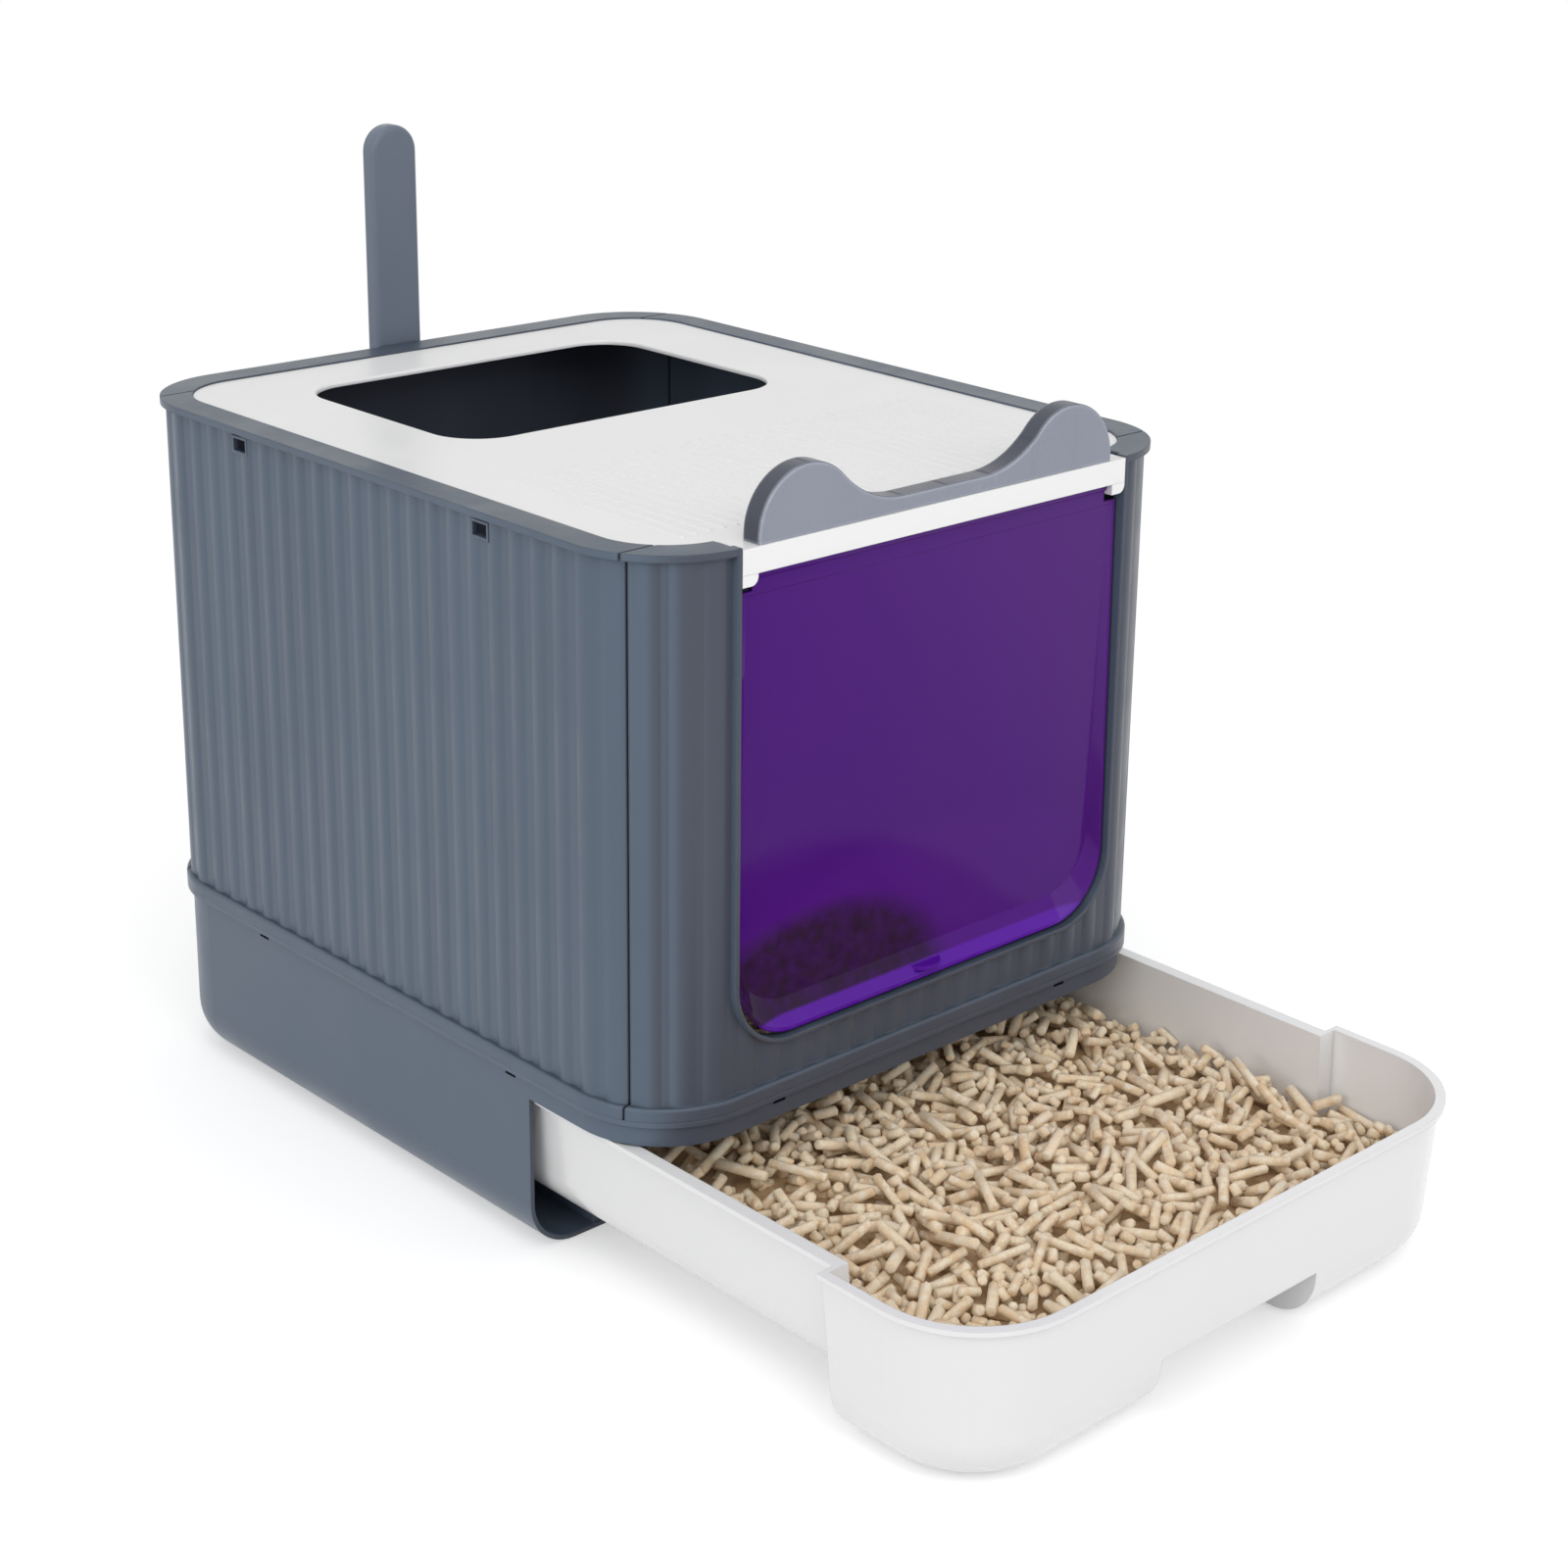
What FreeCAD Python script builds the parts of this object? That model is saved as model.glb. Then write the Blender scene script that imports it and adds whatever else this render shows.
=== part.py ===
import FreeCAD, Part
import math
import os

import Sketcher

document = FreeCAD.newDocument("litter_box")
sheet = document.addObject("Spreadsheet::Sheet", "Sizes")


class Length:
    """A size in millimetres: its number now, and the formula over the sheet that gives it."""

    def __init__(self, value, formula):
        self.value = value
        self.formula = formula

    def combine(self, other, value, sign, swapped=False):
        theirs = other.formula if isinstance(other, Length) else repr(other)
        first, second = (theirs, self.formula) if swapped else (self.formula, theirs)
        return Length(value, "(" + first + " " + sign + " " + second + ")")

    def __add__(self, other):
        return self.combine(other, self.value + number(other), "+")

    def __radd__(self, other):
        return self.combine(other, number(other) + self.value, "+", swapped=True)

    def __sub__(self, other):
        return self.combine(other, self.value - number(other), "-")

    def __rsub__(self, other):
        return self.combine(other, number(other) - self.value, "-", swapped=True)

    def __mul__(self, other):
        return self.combine(other, self.value * number(other), "*")

    def __truediv__(self, other):
        return self.combine(other, self.value / number(other), "/")

    def __neg__(self):
        return Length(-self.value, "(0 - " + self.formula + ")")


def number(length):
    """The plain number of a Length, or of a number."""
    return length.value if isinstance(length, Length) else length


row_count = 0


def size(name, value):
    """Puts one driving size in the sheet and gives it back as a Length."""
    global row_count
    row_count += 1
    cell = "B%d" % row_count
    sheet.set("A%d" % row_count, name)
    sheet.set(cell, str(value))
    sheet.setAlias(cell, name)
    return Length(float(value), "Sizes." + name)


# Walls of the box, measured to the outer wall face
half_width = size("half_width", 199.5)
half_depth = size("half_depth", 243)
corner_radius = size("corner_radius", 57)
wall = size("wall", 2.6)
box_height = size("box_height", 421)
split_height = size("split_height", 111)
seam_reach = size("seam_reach", 214.5)
seam_gap = size("seam_gap", 1.2)
lap_width = size("lap_width", 7)
lap_thickness = size("lap_thickness", 1.6)

# Rim and ledge at the top of the wall panels
rim_overhang = size("rim_overhang", 4)
rim_width = size("rim_width", 19)
rim_thickness = size("rim_thickness", 4)
ledge_depth = size("ledge_depth", 8.5)
ledge_width = size("ledge_width", 8)
web_thickness = size("web_thickness", 2.5)

# Flared foot of the panels and the tongue that drops into the base
foot_overhang = size("foot_overhang", 3.5)
foot_height = size("foot_height", 8)
foot_round = size("foot_round", 2.1)
tongue_depth = size("tongue_depth", 9)
tongue_thickness = size("tongue_thickness", 2.4)
fit_gap = size("fit_gap", 0.2)

# Ribs in the wall panels
rib_pitch = size("rib_pitch", 18)
rib_width = size("rib_width", 12)
rib_height = size("rib_height", 1.2)
corner_rib_start = size("corner_rib_start", 4.5)
corner_rib_step = size("corner_rib_step", 18)
side_rib_count = 20
front_rib_count = 16

# Snap windows and slits
window_width = size("window_width", 12)
window_height = size("window_height", 7.2)
window_drop = size("window_drop", 11)
window_frame = size("window_frame", 1.6)
window_frame_proud = size("window_frame_proud", 1.3)
window_front = size("window_front", 106)
window_rear = size("window_rear", 122)
slit_width = size("slit_width", 9)
slit_height = size("slit_height", 1.8)
slit_drop = size("slit_drop", 6.5)
slit_side = size("slit_side", 122)
slit_front = size("slit_front", 111)

# Base tray
base_round = size("base_round", 30)
bead_thickness = size("bead_thickness", 3)
band_height = size("band_height", 15.4)
band_lip = size("band_lip", 10)
band_lip_thickness = size("band_lip_thickness", 2.4)
mouth_reach = size("mouth_reach", 138.3)
runner_width = size("runner_width", 10)
runner_offset = size("runner_offset", 150)
runner_setback = size("runner_setback", 22)

# Door opening in the front panel
opening_half = size("opening_half", 144)
sill_height = size("sill_height", 143)
opening_radius = size("opening_radius", 38)
lip_width = size("lip_width", 2.5)

# Running gap between bodies that move past each other
running_gap = size("running_gap", 0.3)

# Top cover
cover_recess = size("cover_recess", 1)
cover_plate = size("cover_plate", 2.8)
skirt_thickness = size("skirt_thickness", 2.4)
bar_height = size("bar_height", 15)
bar_thickness = size("bar_thickness", 2.8)
hole_half = size("hole_half", 122)
hole_rear = size("hole_rear", 183.4)
hole_length = size("hole_length", 172)
hole_radius = size("hole_radius", 31)
hole_round = size("hole_round", 1.4)
ridge_count = 34
ridge_pitch = size("ridge_pitch", 9.2)
ridge_width = size("ridge_width", 4.6)
ridge_height = size("ridge_height", 0.7)
ridge_front = size("ridge_front", 212)
ridge_length = size("ridge_length", 150)

# Two-humped crest on the front edge of the cover
crest_half = size("crest_half", 132)
crest_height = size("crest_height", 37.3)
crest_valley = size("crest_valley", 8.5)
crest_hump = size("crest_hump", 98)
crest_thickness = size("crest_thickness", 13)
crest_setback = size("crest_setback", 0.8)
crest_sweep = size("crest_sweep", 60)
crest_round = size("crest_round", 1.2)
peg_half = size("peg_half", 14)
peg_thickness = size("peg_thickness", 5)
peg_depth = size("peg_depth", 7)
peg_offset = size("peg_offset", 96)

# Door flap and its hinge
door_gap = size("door_gap", 1.5)
corner_ease = size("corner_ease", 3.5)
door_sheet = size("door_sheet", 2.2)
hinge_drop = size("hinge_drop", 16.5)
hinge_setback = size("hinge_setback", 7.5)
pin_radius = size("pin_radius", 2.5)
pin_clearance = size("pin_clearance", 0.08)
pin_length = size("pin_length", 18)
pin_reach = size("pin_reach", 8)
barrel_radius = size("barrel_radius", 4)
flange_drop = size("flange_drop", 2.2)
flange_lean = size("flange_lean", 2.3)
sheet_lean = size("sheet_lean", 6)
side_slope = size("side_slope", 4)
bottom_slope = size("bottom_slope", 14)
shoulder_drop = size("shoulder_drop", 9.3)
tab_radius = size("tab_radius", 12)
tab_thickness = size("tab_thickness", 2.6)
tab_height = size("tab_height", 5.5)
tab_proud = size("tab_proud", 4)
tab_root = size("tab_root", 0.7)
clip_width = size("clip_width", 10.5)
clip_below = size("clip_below", 4.6)
clip_depth = size("clip_depth", 13.5)
clip_round = size("clip_round", 4.5)
clip_gap = size("clip_gap", 0.5)

# Drawer
drawer_pull = size("drawer_pull", 236)
drawer_half = size("drawer_half", 195.8)
drawer_floor = size("drawer_floor", 25)
drawer_clearance = size("drawer_clearance", 0.9)
drawer_wall = size("drawer_wall", 2.8)
drawer_rear_gap = size("drawer_rear_gap", 5)
drawer_rear_radius = size("drawer_rear_radius", 40)
drawer_rim_thickness = size("drawer_rim_thickness", 3.2)
drawer_foot_round = size("drawer_foot_round", 22)
drawer_lower_gap = size("drawer_lower_gap", 5.2)
wall_draft = size("wall_draft", 0.06)
mouth_gap = size("mouth_gap", 0.6)
tray_floor = size("tray_floor", 1)
tray_front_half = size("tray_front_half", 203.5)
tray_front_radius = size("tray_front_radius", 62)
tray_foot_round = size("tray_foot_round", 28)
tray_lip = size("tray_lip", 3)
tray_lip_thickness = size("tray_lip_thickness", 3)
finger_half = size("finger_half", 63)
finger_height = size("finger_height", 33)
finger_depth = size("finger_depth", 62)
litter_height = size("litter_height", 50)
litter_gap = size("litter_gap", 0.3)
heap_rise = size("heap_rise", 9)
heap_edge = size("heap_edge", 5)
heap_slope = size("heap_slope", 62)
heap_front_radius = size("heap_front_radius", 52)
heap_rear_radius = size("heap_rear_radius", 24)

# Scoop and the rack that holds it on the rear panel
scoop_top = size("scoop_top", 561)
handle_width = size("handle_width", 34)
handle_thickness = size("handle_thickness", 13)
handle_length = size("handle_length", 190)
handle_round = size("handle_round", 3.5)
head_width = size("head_width", 110)
head_length = size("head_length", 125)
head_depth = size("head_depth", 30)
head_sheet = size("head_sheet", 2.4)
head_radius = size("head_radius", 22)
slot_width = size("slot_width", 9)
slot_pitch = size("slot_pitch", 15)
slot_length = size("slot_length", 84)
slot_count = 6
rack_sheet = size("rack_sheet", 2.4)
rack_height = size("rack_height", 62)
rack_play = size("rack_play", 1.5)

document.recompute()

# Heights and faces that follow from the driving sizes
rim_low = box_height - rim_thickness
rim_outer = rim_overhang
rim_inner = rim_overhang - rim_width
ledge_top = box_height - ledge_depth
band_bottom = split_height - band_height
rim_front = half_depth + rim_overhang
cover_top = box_height - cover_recess
plate_bottom = cover_top - cover_plate
bar_front = rim_front
bar_bottom = box_height - bar_height
drawer_top = band_bottom - drawer_clearance
hinge_height = box_height - hinge_drop
hinge_front = bar_front - hinge_setback
door_half = opening_half - door_gap
door_bottom = sill_height + door_gap
door_radius = opening_radius - door_gap + corner_ease
zero = Length(0, "0")

# Share of half a width that rounds an end, so that a short straight stretch stays
END_ROUND = 0.98


def bind(thing, name, length):
    """Ties one property to the sheet, or sets it where it is a plain number."""
    if isinstance(length, Length):
        thing.setExpression(name, length.formula)
    else:
        thing.setExpression(name, repr(float(length)))


def origin_plane(body, role):
    for feature in body.Origin.OriginFeatures:
        if feature.Role == role:
            return feature
    raise ValueError(role)


def new_body(label):
    body = document.addObject("PartDesign::Body", label)
    body.Label = label
    return body


def new_sketch(body, name, role, offset=0.0, across=0.0, up=0.0):
    """A sketch on one of the body's own origin planes, moved along the plane's normal and in the plane."""
    sketch = body.newObject("Sketcher::SketchObject", body.Label + "_" + name)
    sketch.AttachmentSupport = [(origin_plane(body, role), "")]
    sketch.MapMode = "FlatFace"
    bind(sketch, "AttachmentOffset.Base.x", across)
    bind(sketch, "AttachmentOffset.Base.y", up)
    bind(sketch, "AttachmentOffset.Base.z", offset)
    return sketch


def pin_down(sketch, kind, length, name, *where):
    """Adds a named dimension to a sketch and ties it to the sheet."""
    index = sketch.addConstraint(Sketcher.Constraint(kind, *where, number(length)))
    sketch.renameConstraint(index, name)
    bind(sketch, "Constraints." + name, length)


def vector(x, y, z=0.0):
    return FreeCAD.Vector(number(x), number(y), number(z))


def outline(sketch, left, right, low, high, low_radius=0.0, high_radius=0.0, tag="o"):
    """A closed rectangle whose two low and two high corners may be rounded."""
    corners = [
        (left, low, low_radius, 180, 270),
        (right, low, low_radius, 270, 360),
        (right, high, high_radius, 0, 90),
        (left, high, high_radius, 90, 180),
    ]
    pieces = []
    for index, (x, y, radius, start, end) in enumerate(corners):
        if number(radius) > 0:
            side_x = 1 if index in (0, 3) else -1
            side_y = 1 if index in (0, 1) else -1
            centre = vector(number(x) + side_x * number(radius), number(y) + side_y * number(radius))
            circle = Part.Circle(centre, FreeCAD.Vector(0, 0, 1), number(radius))
            arc = Part.ArcOfCircle(circle, math.radians(start), math.radians(end))
            pieces.append(("arc", arc))
        else:
            pieces.append(("corner", vector(x, y)))
    first = sketch.GeometryCount
    starts = []
    ends = []
    for kind, piece in pieces:
        starts.append(piece.StartPoint if kind == "arc" else piece)
        ends.append(piece.EndPoint if kind == "arc" else piece)
    arcs = {}
    lines = {}
    for index in range(4):
        if pieces[index][0] == "arc":
            arcs[index] = sketch.addGeometry(pieces[index][1], False)
        following = (index + 1) % 4
        lines[index] = sketch.addGeometry(Part.LineSegment(ends[index], starts[following]), False)
    for index in range(4):
        before = lines[(index + 3) % 4]
        after = lines[index]
        if index in arcs:
            sketch.addConstraint(Sketcher.Constraint("Tangent", before, 2, arcs[index], 1))
            sketch.addConstraint(Sketcher.Constraint("Tangent", arcs[index], 2, after, 1))
            radius = low_radius if index in (0, 1) else high_radius
            pin_down(sketch, "Radius", radius, "%s_radius_%d" % (tag, index), arcs[index])
        else:
            sketch.addConstraint(Sketcher.Constraint("Coincident", before, 2, after, 1))
    sketch.addConstraint(Sketcher.Constraint("Horizontal", lines[0]))
    sketch.addConstraint(Sketcher.Constraint("Vertical", lines[1]))
    sketch.addConstraint(Sketcher.Constraint("Horizontal", lines[2]))
    sketch.addConstraint(Sketcher.Constraint("Vertical", lines[3]))
    pin_down(sketch, "DistanceY", low, tag + "_low", -1, 1, lines[0], 1)
    pin_down(sketch, "DistanceX", right, tag + "_right", -1, 1, lines[1], 1)
    pin_down(sketch, "DistanceY", high, tag + "_high", -1, 1, lines[2], 1)
    pin_down(sketch, "DistanceX", left, tag + "_left", -1, 1, lines[3], 1)
    return first


def circle(sketch, x, y, radius, tag="c"):
    index = sketch.addGeometry(Part.Circle(vector(x, y), FreeCAD.Vector(0, 0, 1), number(radius)), False)
    pin_down(sketch, "DistanceX", x, tag + "_x", -1, 1, index, 3)
    pin_down(sketch, "DistanceY", y, tag + "_y", -1, 1, index, 3)
    pin_down(sketch, "Radius", radius, tag + "_radius", index)


def extrude(body, kind, sketch, length, reverse=False, taper=None):
    """Pads or pockets a sketch and makes the result the body's tip."""
    feature = body.newObject("PartDesign::" + kind, sketch.Name + "_" + kind.lower())
    feature.Profile = sketch
    feature.Type = "Length"
    bind(feature, "Length", length)
    feature.Reversed = reverse
    if taper is not None:
        feature.setExpression("TaperAngle", taper)
    sketch.Visibility = False
    body.Tip = feature
    return feature


def loft_between(body, kind, name, first, second):
    """Joins two like sketches by straight faces and makes the result the body's tip."""
    loft = body.newObject("PartDesign::" + kind, name)
    loft.Profile = first
    loft.Sections = [second]
    loft.Ruled = True
    body.Tip = loft
    first.Visibility = False
    second.Visibility = False
    return loft


def wall_outline(sketch, offset, tag):
    """The plan of the box, moved outwards by an offset from the outer wall face."""
    x = half_width + offset
    y = half_depth + offset
    radius = corner_radius + offset
    outline(sketch, -x, x, -y, y, radius, radius, tag)


def ring(body, name, outer, inner, low, high):
    """A wall between two offsets of the box's plan, from one height to another."""
    sketch = new_sketch(body, name, "XY_Plane", low)
    wall_outline(sketch, outer, "outer")
    wall_outline(sketch, inner, "inner")
    return extrude(body, "Pad", sketch, high - low)


def edges_where(feature, test, middle=None):
    """Names of the edges of a feature's shape whose ends all pass a test, and their middle another."""
    document.recompute()
    names = []
    for index, edge in enumerate(feature.Shape.Edges):
        ends_pass = all(test(vertex.Point) for vertex in edge.Vertexes)
        if ends_pass and (middle is None or middle(edge.CenterOfMass)):
            names.append("Edge%d" % (index + 1))
    return names


def round_edges(body, feature, names, radius, kind="Fillet"):
    rounded = body.newObject("PartDesign::" + kind, feature.Name + "_" + kind.lower())
    rounded.Base = (feature, names)
    bind(rounded, "Radius" if kind == "Fillet" else "Size", radius)
    body.Tip = rounded
    return rounded


def near(value, length, slack=0.02):
    return abs(value - number(length)) < slack


def combine(kind, name, base, tool):
    feature = document.addObject("Part::" + kind, name)
    feature.Base = base
    feature.Tool = tool
    feature.Label = name
    return feature


def merged(name, shapes):
    feature = document.addObject("Part::MultiFuse", name)
    feature.Shapes = shapes
    feature.Label = name
    return feature


parts = {}


def add_ribs(body, sides, corner_from, corner_to, rib_bottom):
    """Shallow rounded ribs on the flats named in sides, and on the rounded corners beside them."""
    curve = (rib_width * rib_width / 4 + rib_height * rib_height) / (rib_height * 2)
    top = rim_low
    for tag, along_y, sign in sides:
        across = half_width if along_y else half_depth
        centre = (across + rib_height - curve) * sign
        count = side_rib_count if along_y else front_rib_count
        first = -(rib_pitch * (count - 1) / 2)
        sketch = new_sketch(body, "rib_" + tag, "XY_Plane", rib_bottom)
        if along_y:
            circle(sketch, centre, first, curve)
        else:
            circle(sketch, first, centre, curve)
        rib = extrude(body, "Pad", sketch, top - rib_bottom)
        pattern = body.newObject("PartDesign::LinearPattern", body.Label + "_ribs_" + tag)
        pattern.Originals = [rib]
        pattern.Direction = (sketch, ["V_Axis" if along_y else "H_Axis"])
        bind(pattern, "Length", rib_pitch * (count - 1))
        pattern.Occurrences = count
        body.Tip = pattern
    signs = {
        "left": [(-1, -1), (-1, 1)],
        "right": [(1, -1), (1, 1)],
        "front": [(-1, -1), (1, -1)],
        "rear": [(-1, 1), (1, 1)],
    }
    centre_x = half_width - corner_radius
    centre_y = half_depth - corner_radius
    reach = corner_radius + rib_height - curve
    sketch = new_sketch(body, "corner_ribs", "XY_Plane", rib_bottom)
    place = body.Label.split("_")[0]
    for index, (sign_x, sign_y) in enumerate(signs[place]):
        for step in range(corner_from, corner_to):
            angle = corner_rib_start + corner_rib_step * step
            turn = math.radians(angle.value)
            along = Length(math.cos(turn), "cos(" + angle.formula + " * 1deg)")
            up = Length(math.sin(turn), "sin(" + angle.formula + " * 1deg)")
            x = (centre_x + reach * along) * sign_x
            y = (centre_y + reach * up) * sign_y
            circle(sketch, x, y, curve, "c%d_%d" % (index, step))
    return extrude(body, "Pad", sketch, top - rib_bottom)


def clear(body, name, role, offset, left, right, low, high, depth, reverse=False):
    """Removes a rectangular block from a body."""
    sketch = new_sketch(body, name, role, offset)
    outline(sketch, left, right, low, high)
    return extrude(body, "Pocket", sketch, depth, reverse)


def clear_through(body, name, left, right, low, high):
    """Removes a block that is open above and below."""
    return clear(body, name, "XY_Plane", box_height + 50, left, right, low, high, box_height + 100)


far = half_depth * 2


def trim_panel(body, place, reach, name):
    """Keeps only the part of the whole wall that belongs to one panel."""
    if place == "front":
        clear_through(body, name, -far, far, -reach, far)
    elif place == "rear":
        clear_through(body, name, -far, far, -far, reach)
    else:
        sign = 1 if place == "right" else -1
        inner = corner_radius * sign
        left, right = (-far, inner) if sign > 0 else (inner, far)
        clear_through(body, name, left, right, -far, far)
        clear_through(body, name + "_front", -far, far, -far, -reach)
        clear_through(body, name + "_rear", -far, far, reach, far)


def wall_panel(place):
    """One wall panel: ribbed wall, flared foot with a tongue below, rolled rim and ledge above."""
    body = new_body(place + "_panel")
    foot_top = split_height + foot_height
    block = new_sketch(body, "block", "XY_Plane", split_height)
    wall_outline(block, zero, "o")
    extrude(body, "Pad", block, rim_low - split_height)
    along_y = place in ("left", "right")
    sign = -1 if place in ("left", "front") else 1
    corners = (0, 2) if along_y else (2, 5)
    add_ribs(body, [(place, along_y, sign)], corners[0], corners[1], foot_top)
    foot = new_sketch(body, "foot", "XY_Plane", split_height)
    wall_outline(foot, foot_overhang, "o")
    flare = extrude(body, "Pad", foot, foot_height)
    outside_x = half_width + foot_overhang
    outside_y = half_depth + foot_overhang
    edges = edges_where(flare, lambda p: near(p.z, foot_top) and (
        near(abs(p.x), outside_x) or near(abs(p.y), outside_y)))
    round_edges(body, flare, edges, foot_round)
    inside = new_sketch(body, "inside", "XY_Plane", box_height)
    wall_outline(inside, -wall, "o")
    extrude(body, "Pocket", inside, box_height)
    foot_inner = -(wall + fit_gap + tongue_thickness)
    web_outer = rim_inner + web_thickness
    ring(body, "sole", -(wall / 2), foot_inner, split_height, foot_top)
    ring(body, "tongue", -(wall + fit_gap), foot_inner, split_height - tongue_depth, foot_top)
    ring(body, "rim", rim_outer, rim_inner, rim_low, box_height)
    ring(body, "web", web_outer, rim_inner, ledge_top, rim_low)
    ring(body, "ledge", web_outer, rim_inner - ledge_width, ledge_top - web_thickness, ledge_top)
    if along_y:
        trim_panel(body, place, seam_reach - seam_gap / 2, "trim")
        return body
    lap_inner = -(wall + fit_gap + lap_thickness)
    lap_bottom = foot_top + seam_gap
    lap_top = ledge_top - ledge_depth
    ring(body, "lap_root", -(wall / 2), lap_inner, lap_bottom, lap_top)
    trim_panel(body, place, seam_reach + seam_gap / 2, "trim")
    ring(body, "lap", -(wall + fit_gap), lap_inner, lap_bottom, lap_top)
    trim_panel(body, place, seam_reach - lap_width, "trim_lap")
    return body


def finish_panel(body):
    parts[body.Label] = body


# Side panels with two framed snap windows each
def side_panel(place):
    body = wall_panel(place)
    sign = 1 if place == "right" else -1
    middle = box_height - window_drop
    half_high = window_height / 2
    half_wide = window_width / 2
    start = half_width + window_frame_proud
    inside = half_width - wall - 1
    sketch = new_sketch(body, "window_frames", "YZ_Plane", start * sign)
    for tag, y in (("front", -window_front), ("rear", window_rear)):
        outline(sketch, y - half_wide - window_frame, y + half_wide + window_frame,
                middle - half_high - window_frame, middle + half_high + window_frame, tag=tag)
    extrude(body, "Pad", sketch, window_frame_proud + wall / 2, reverse=sign > 0)
    sketch = new_sketch(body, "windows", "YZ_Plane", (start + 1) * sign)
    for tag, y in (("front", -window_front), ("rear", window_rear)):
        outline(sketch, y - half_wide, y + half_wide, middle - half_high, middle + half_high, tag=tag)
    extrude(body, "Pocket", sketch, start + 1 - inside, reverse=sign < 0)
    finish_panel(body)


side_panel("left")
side_panel("right")

# Front panel: door opening with a thin raised lip
front_panel = wall_panel("front")
sketch = new_sketch(front_panel, "lip_block", "XZ_Plane", rim_front)
outline(sketch, -(opening_half + lip_width), opening_half + lip_width, sill_height - lip_width,
        box_height, opening_radius + lip_width)
extrude(front_panel, "Pad", sketch, rim_overhang + wall, reverse=True)
clear(front_panel, "doorway", "XZ_Plane", half_depth - wall, -(opening_half + lip_width),
      opening_half + lip_width, ledge_top - ledge_depth, box_height + 5, ledge_width * 4)
sketch = new_sketch(front_panel, "opening", "XZ_Plane", rim_front + 5)
outline(sketch, -opening_half, opening_half, sill_height, box_height + 5, opening_radius)
extrude(front_panel, "Pocket", sketch, ledge_width * 6)
finish_panel(front_panel)

# Rear panel: flat seat for the scoop rack
rear_panel = wall_panel("rear")
seat_proud = rib_height + 0.4
rack_inner_half = head_width / 2 + rack_play
rack_half = rack_inner_half + rack_sheet
head_bottom = scoop_top - handle_length - head_length
rack_bottom = head_bottom - running_gap - rack_sheet
rack_top = rack_bottom + rack_height
sketch = new_sketch(rear_panel, "rack_seat", "XZ_Plane", -(half_depth + seat_proud))
outline(sketch, -(rack_half + rack_sheet), rack_half + rack_sheet, rack_bottom - rack_sheet,
        rack_top + rack_sheet)
extrude(rear_panel, "Pad", sketch, seat_proud + wall / 2)
finish_panel(rear_panel)

# Base tray: deep rounded tub, open at the front below the band
base = new_body("base_tray")
sketch = new_sketch(base, "tub", "XY_Plane")
wall_outline(sketch, zero, "o")
extrude(base, "Pad", sketch, split_height)
sketch = new_sketch(base, "cavity", "XY_Plane", split_height)
wall_outline(sketch, -wall, "o")
cavity = extrude(base, "Pocket", sketch, split_height - wall)
inner_x = half_width - wall
inner_y = half_depth - wall
edges = edges_where(cavity, lambda p: near(p.z, wall) and (
    near(abs(p.x), inner_x) or near(abs(p.y), inner_y)))
hollow = round_edges(base, cavity, edges, base_round - wall)
edges = edges_where(hollow, lambda p: near(p.z, 0))
round_edges(base, hollow, edges, base_round)
ring(base, "bead", foot_overhang, -(wall / 2), split_height - bead_thickness, split_height)
clear(base, "mouth", "XY_Plane", band_bottom, -far, far, -far, -mouth_reach, band_bottom + 10)
sketch = new_sketch(base, "band_return", "XY_Plane", band_bottom)
outline(sketch, -(half_width - corner_radius), half_width - corner_radius, -(half_depth - wall / 2),
        -(half_depth - band_lip))
extrude(base, "Pad", sketch, band_lip_thickness)
sketch = new_sketch(base, "runners", "XY_Plane", wall / 2)
for tag, sign in (("left", -1), ("right", 1)):
    middle = runner_offset * sign
    outline(sketch, middle - runner_width / 2, middle + runner_width / 2, -(mouth_reach - 1),
            half_depth - base_round - runner_setback / 2, tag=tag)
extrude(base, "Pad", sketch, drawer_floor - running_gap - wall / 2)
slit_middle = split_height - slit_drop
slit_low = slit_middle - slit_height / 2
slit_high = slit_middle + slit_height / 2
sketch = new_sketch(base, "side_slits", "YZ_Plane", -(half_width + 5))
for tag, y in (("front", -slit_side), ("rear", slit_side)):
    outline(sketch, y - slit_width / 2, y + slit_width / 2, slit_low, slit_high, tag=tag)
extrude(base, "Pocket", sketch, far, reverse=True)
sketch = new_sketch(base, "end_slits", "XZ_Plane", half_depth + 5)
for tag, x in (("left", -slit_front), ("right", slit_front)):
    outline(sketch, x - slit_width / 2, x + slit_width / 2, slit_low, slit_high, tag=tag)
extrude(base, "Pocket", sketch, far * 2)
parts["base_tray"] = base

# Rack on the rear panel that the scoop's head drops into
rack = new_body("scoop_rack")
rack_rear = half_depth + seat_proud
scoop_front = rim_front + rack_play + running_gap
rack_front = scoop_front + head_depth + rack_play + rack_sheet
sketch = new_sketch(rack, "block", "XZ_Plane", -rack_rear)
outline(sketch, -rack_half, rack_half, rack_bottom, rack_top, head_radius + rack_play + rack_sheet)
extrude(rack, "Pad", sketch, rack_front - rack_rear, reverse=True)
sketch = new_sketch(rack, "pocket", "XZ_Plane", -(rack_rear + rack_sheet))
outline(sketch, -rack_inner_half, rack_inner_half, rack_bottom + rack_sheet, rack_top + 5,
        head_radius + rack_play)
extrude(rack, "Pocket", sketch, rack_front - rack_rear - rack_sheet * 2)
sketch = new_sketch(rack, "front_opening", "XZ_Plane", -(rack_front - rack_sheet - 1))
window_half = rack_inner_half - head_radius / 2
outline(sketch, -window_half, window_half, rack_bottom + head_radius, rack_top - head_radius / 2,
        head_radius / 4, head_radius / 4)
extrude(rack, "Pocket", sketch, rack_sheet + 5)
parts["scoop_rack"] = rack


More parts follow.
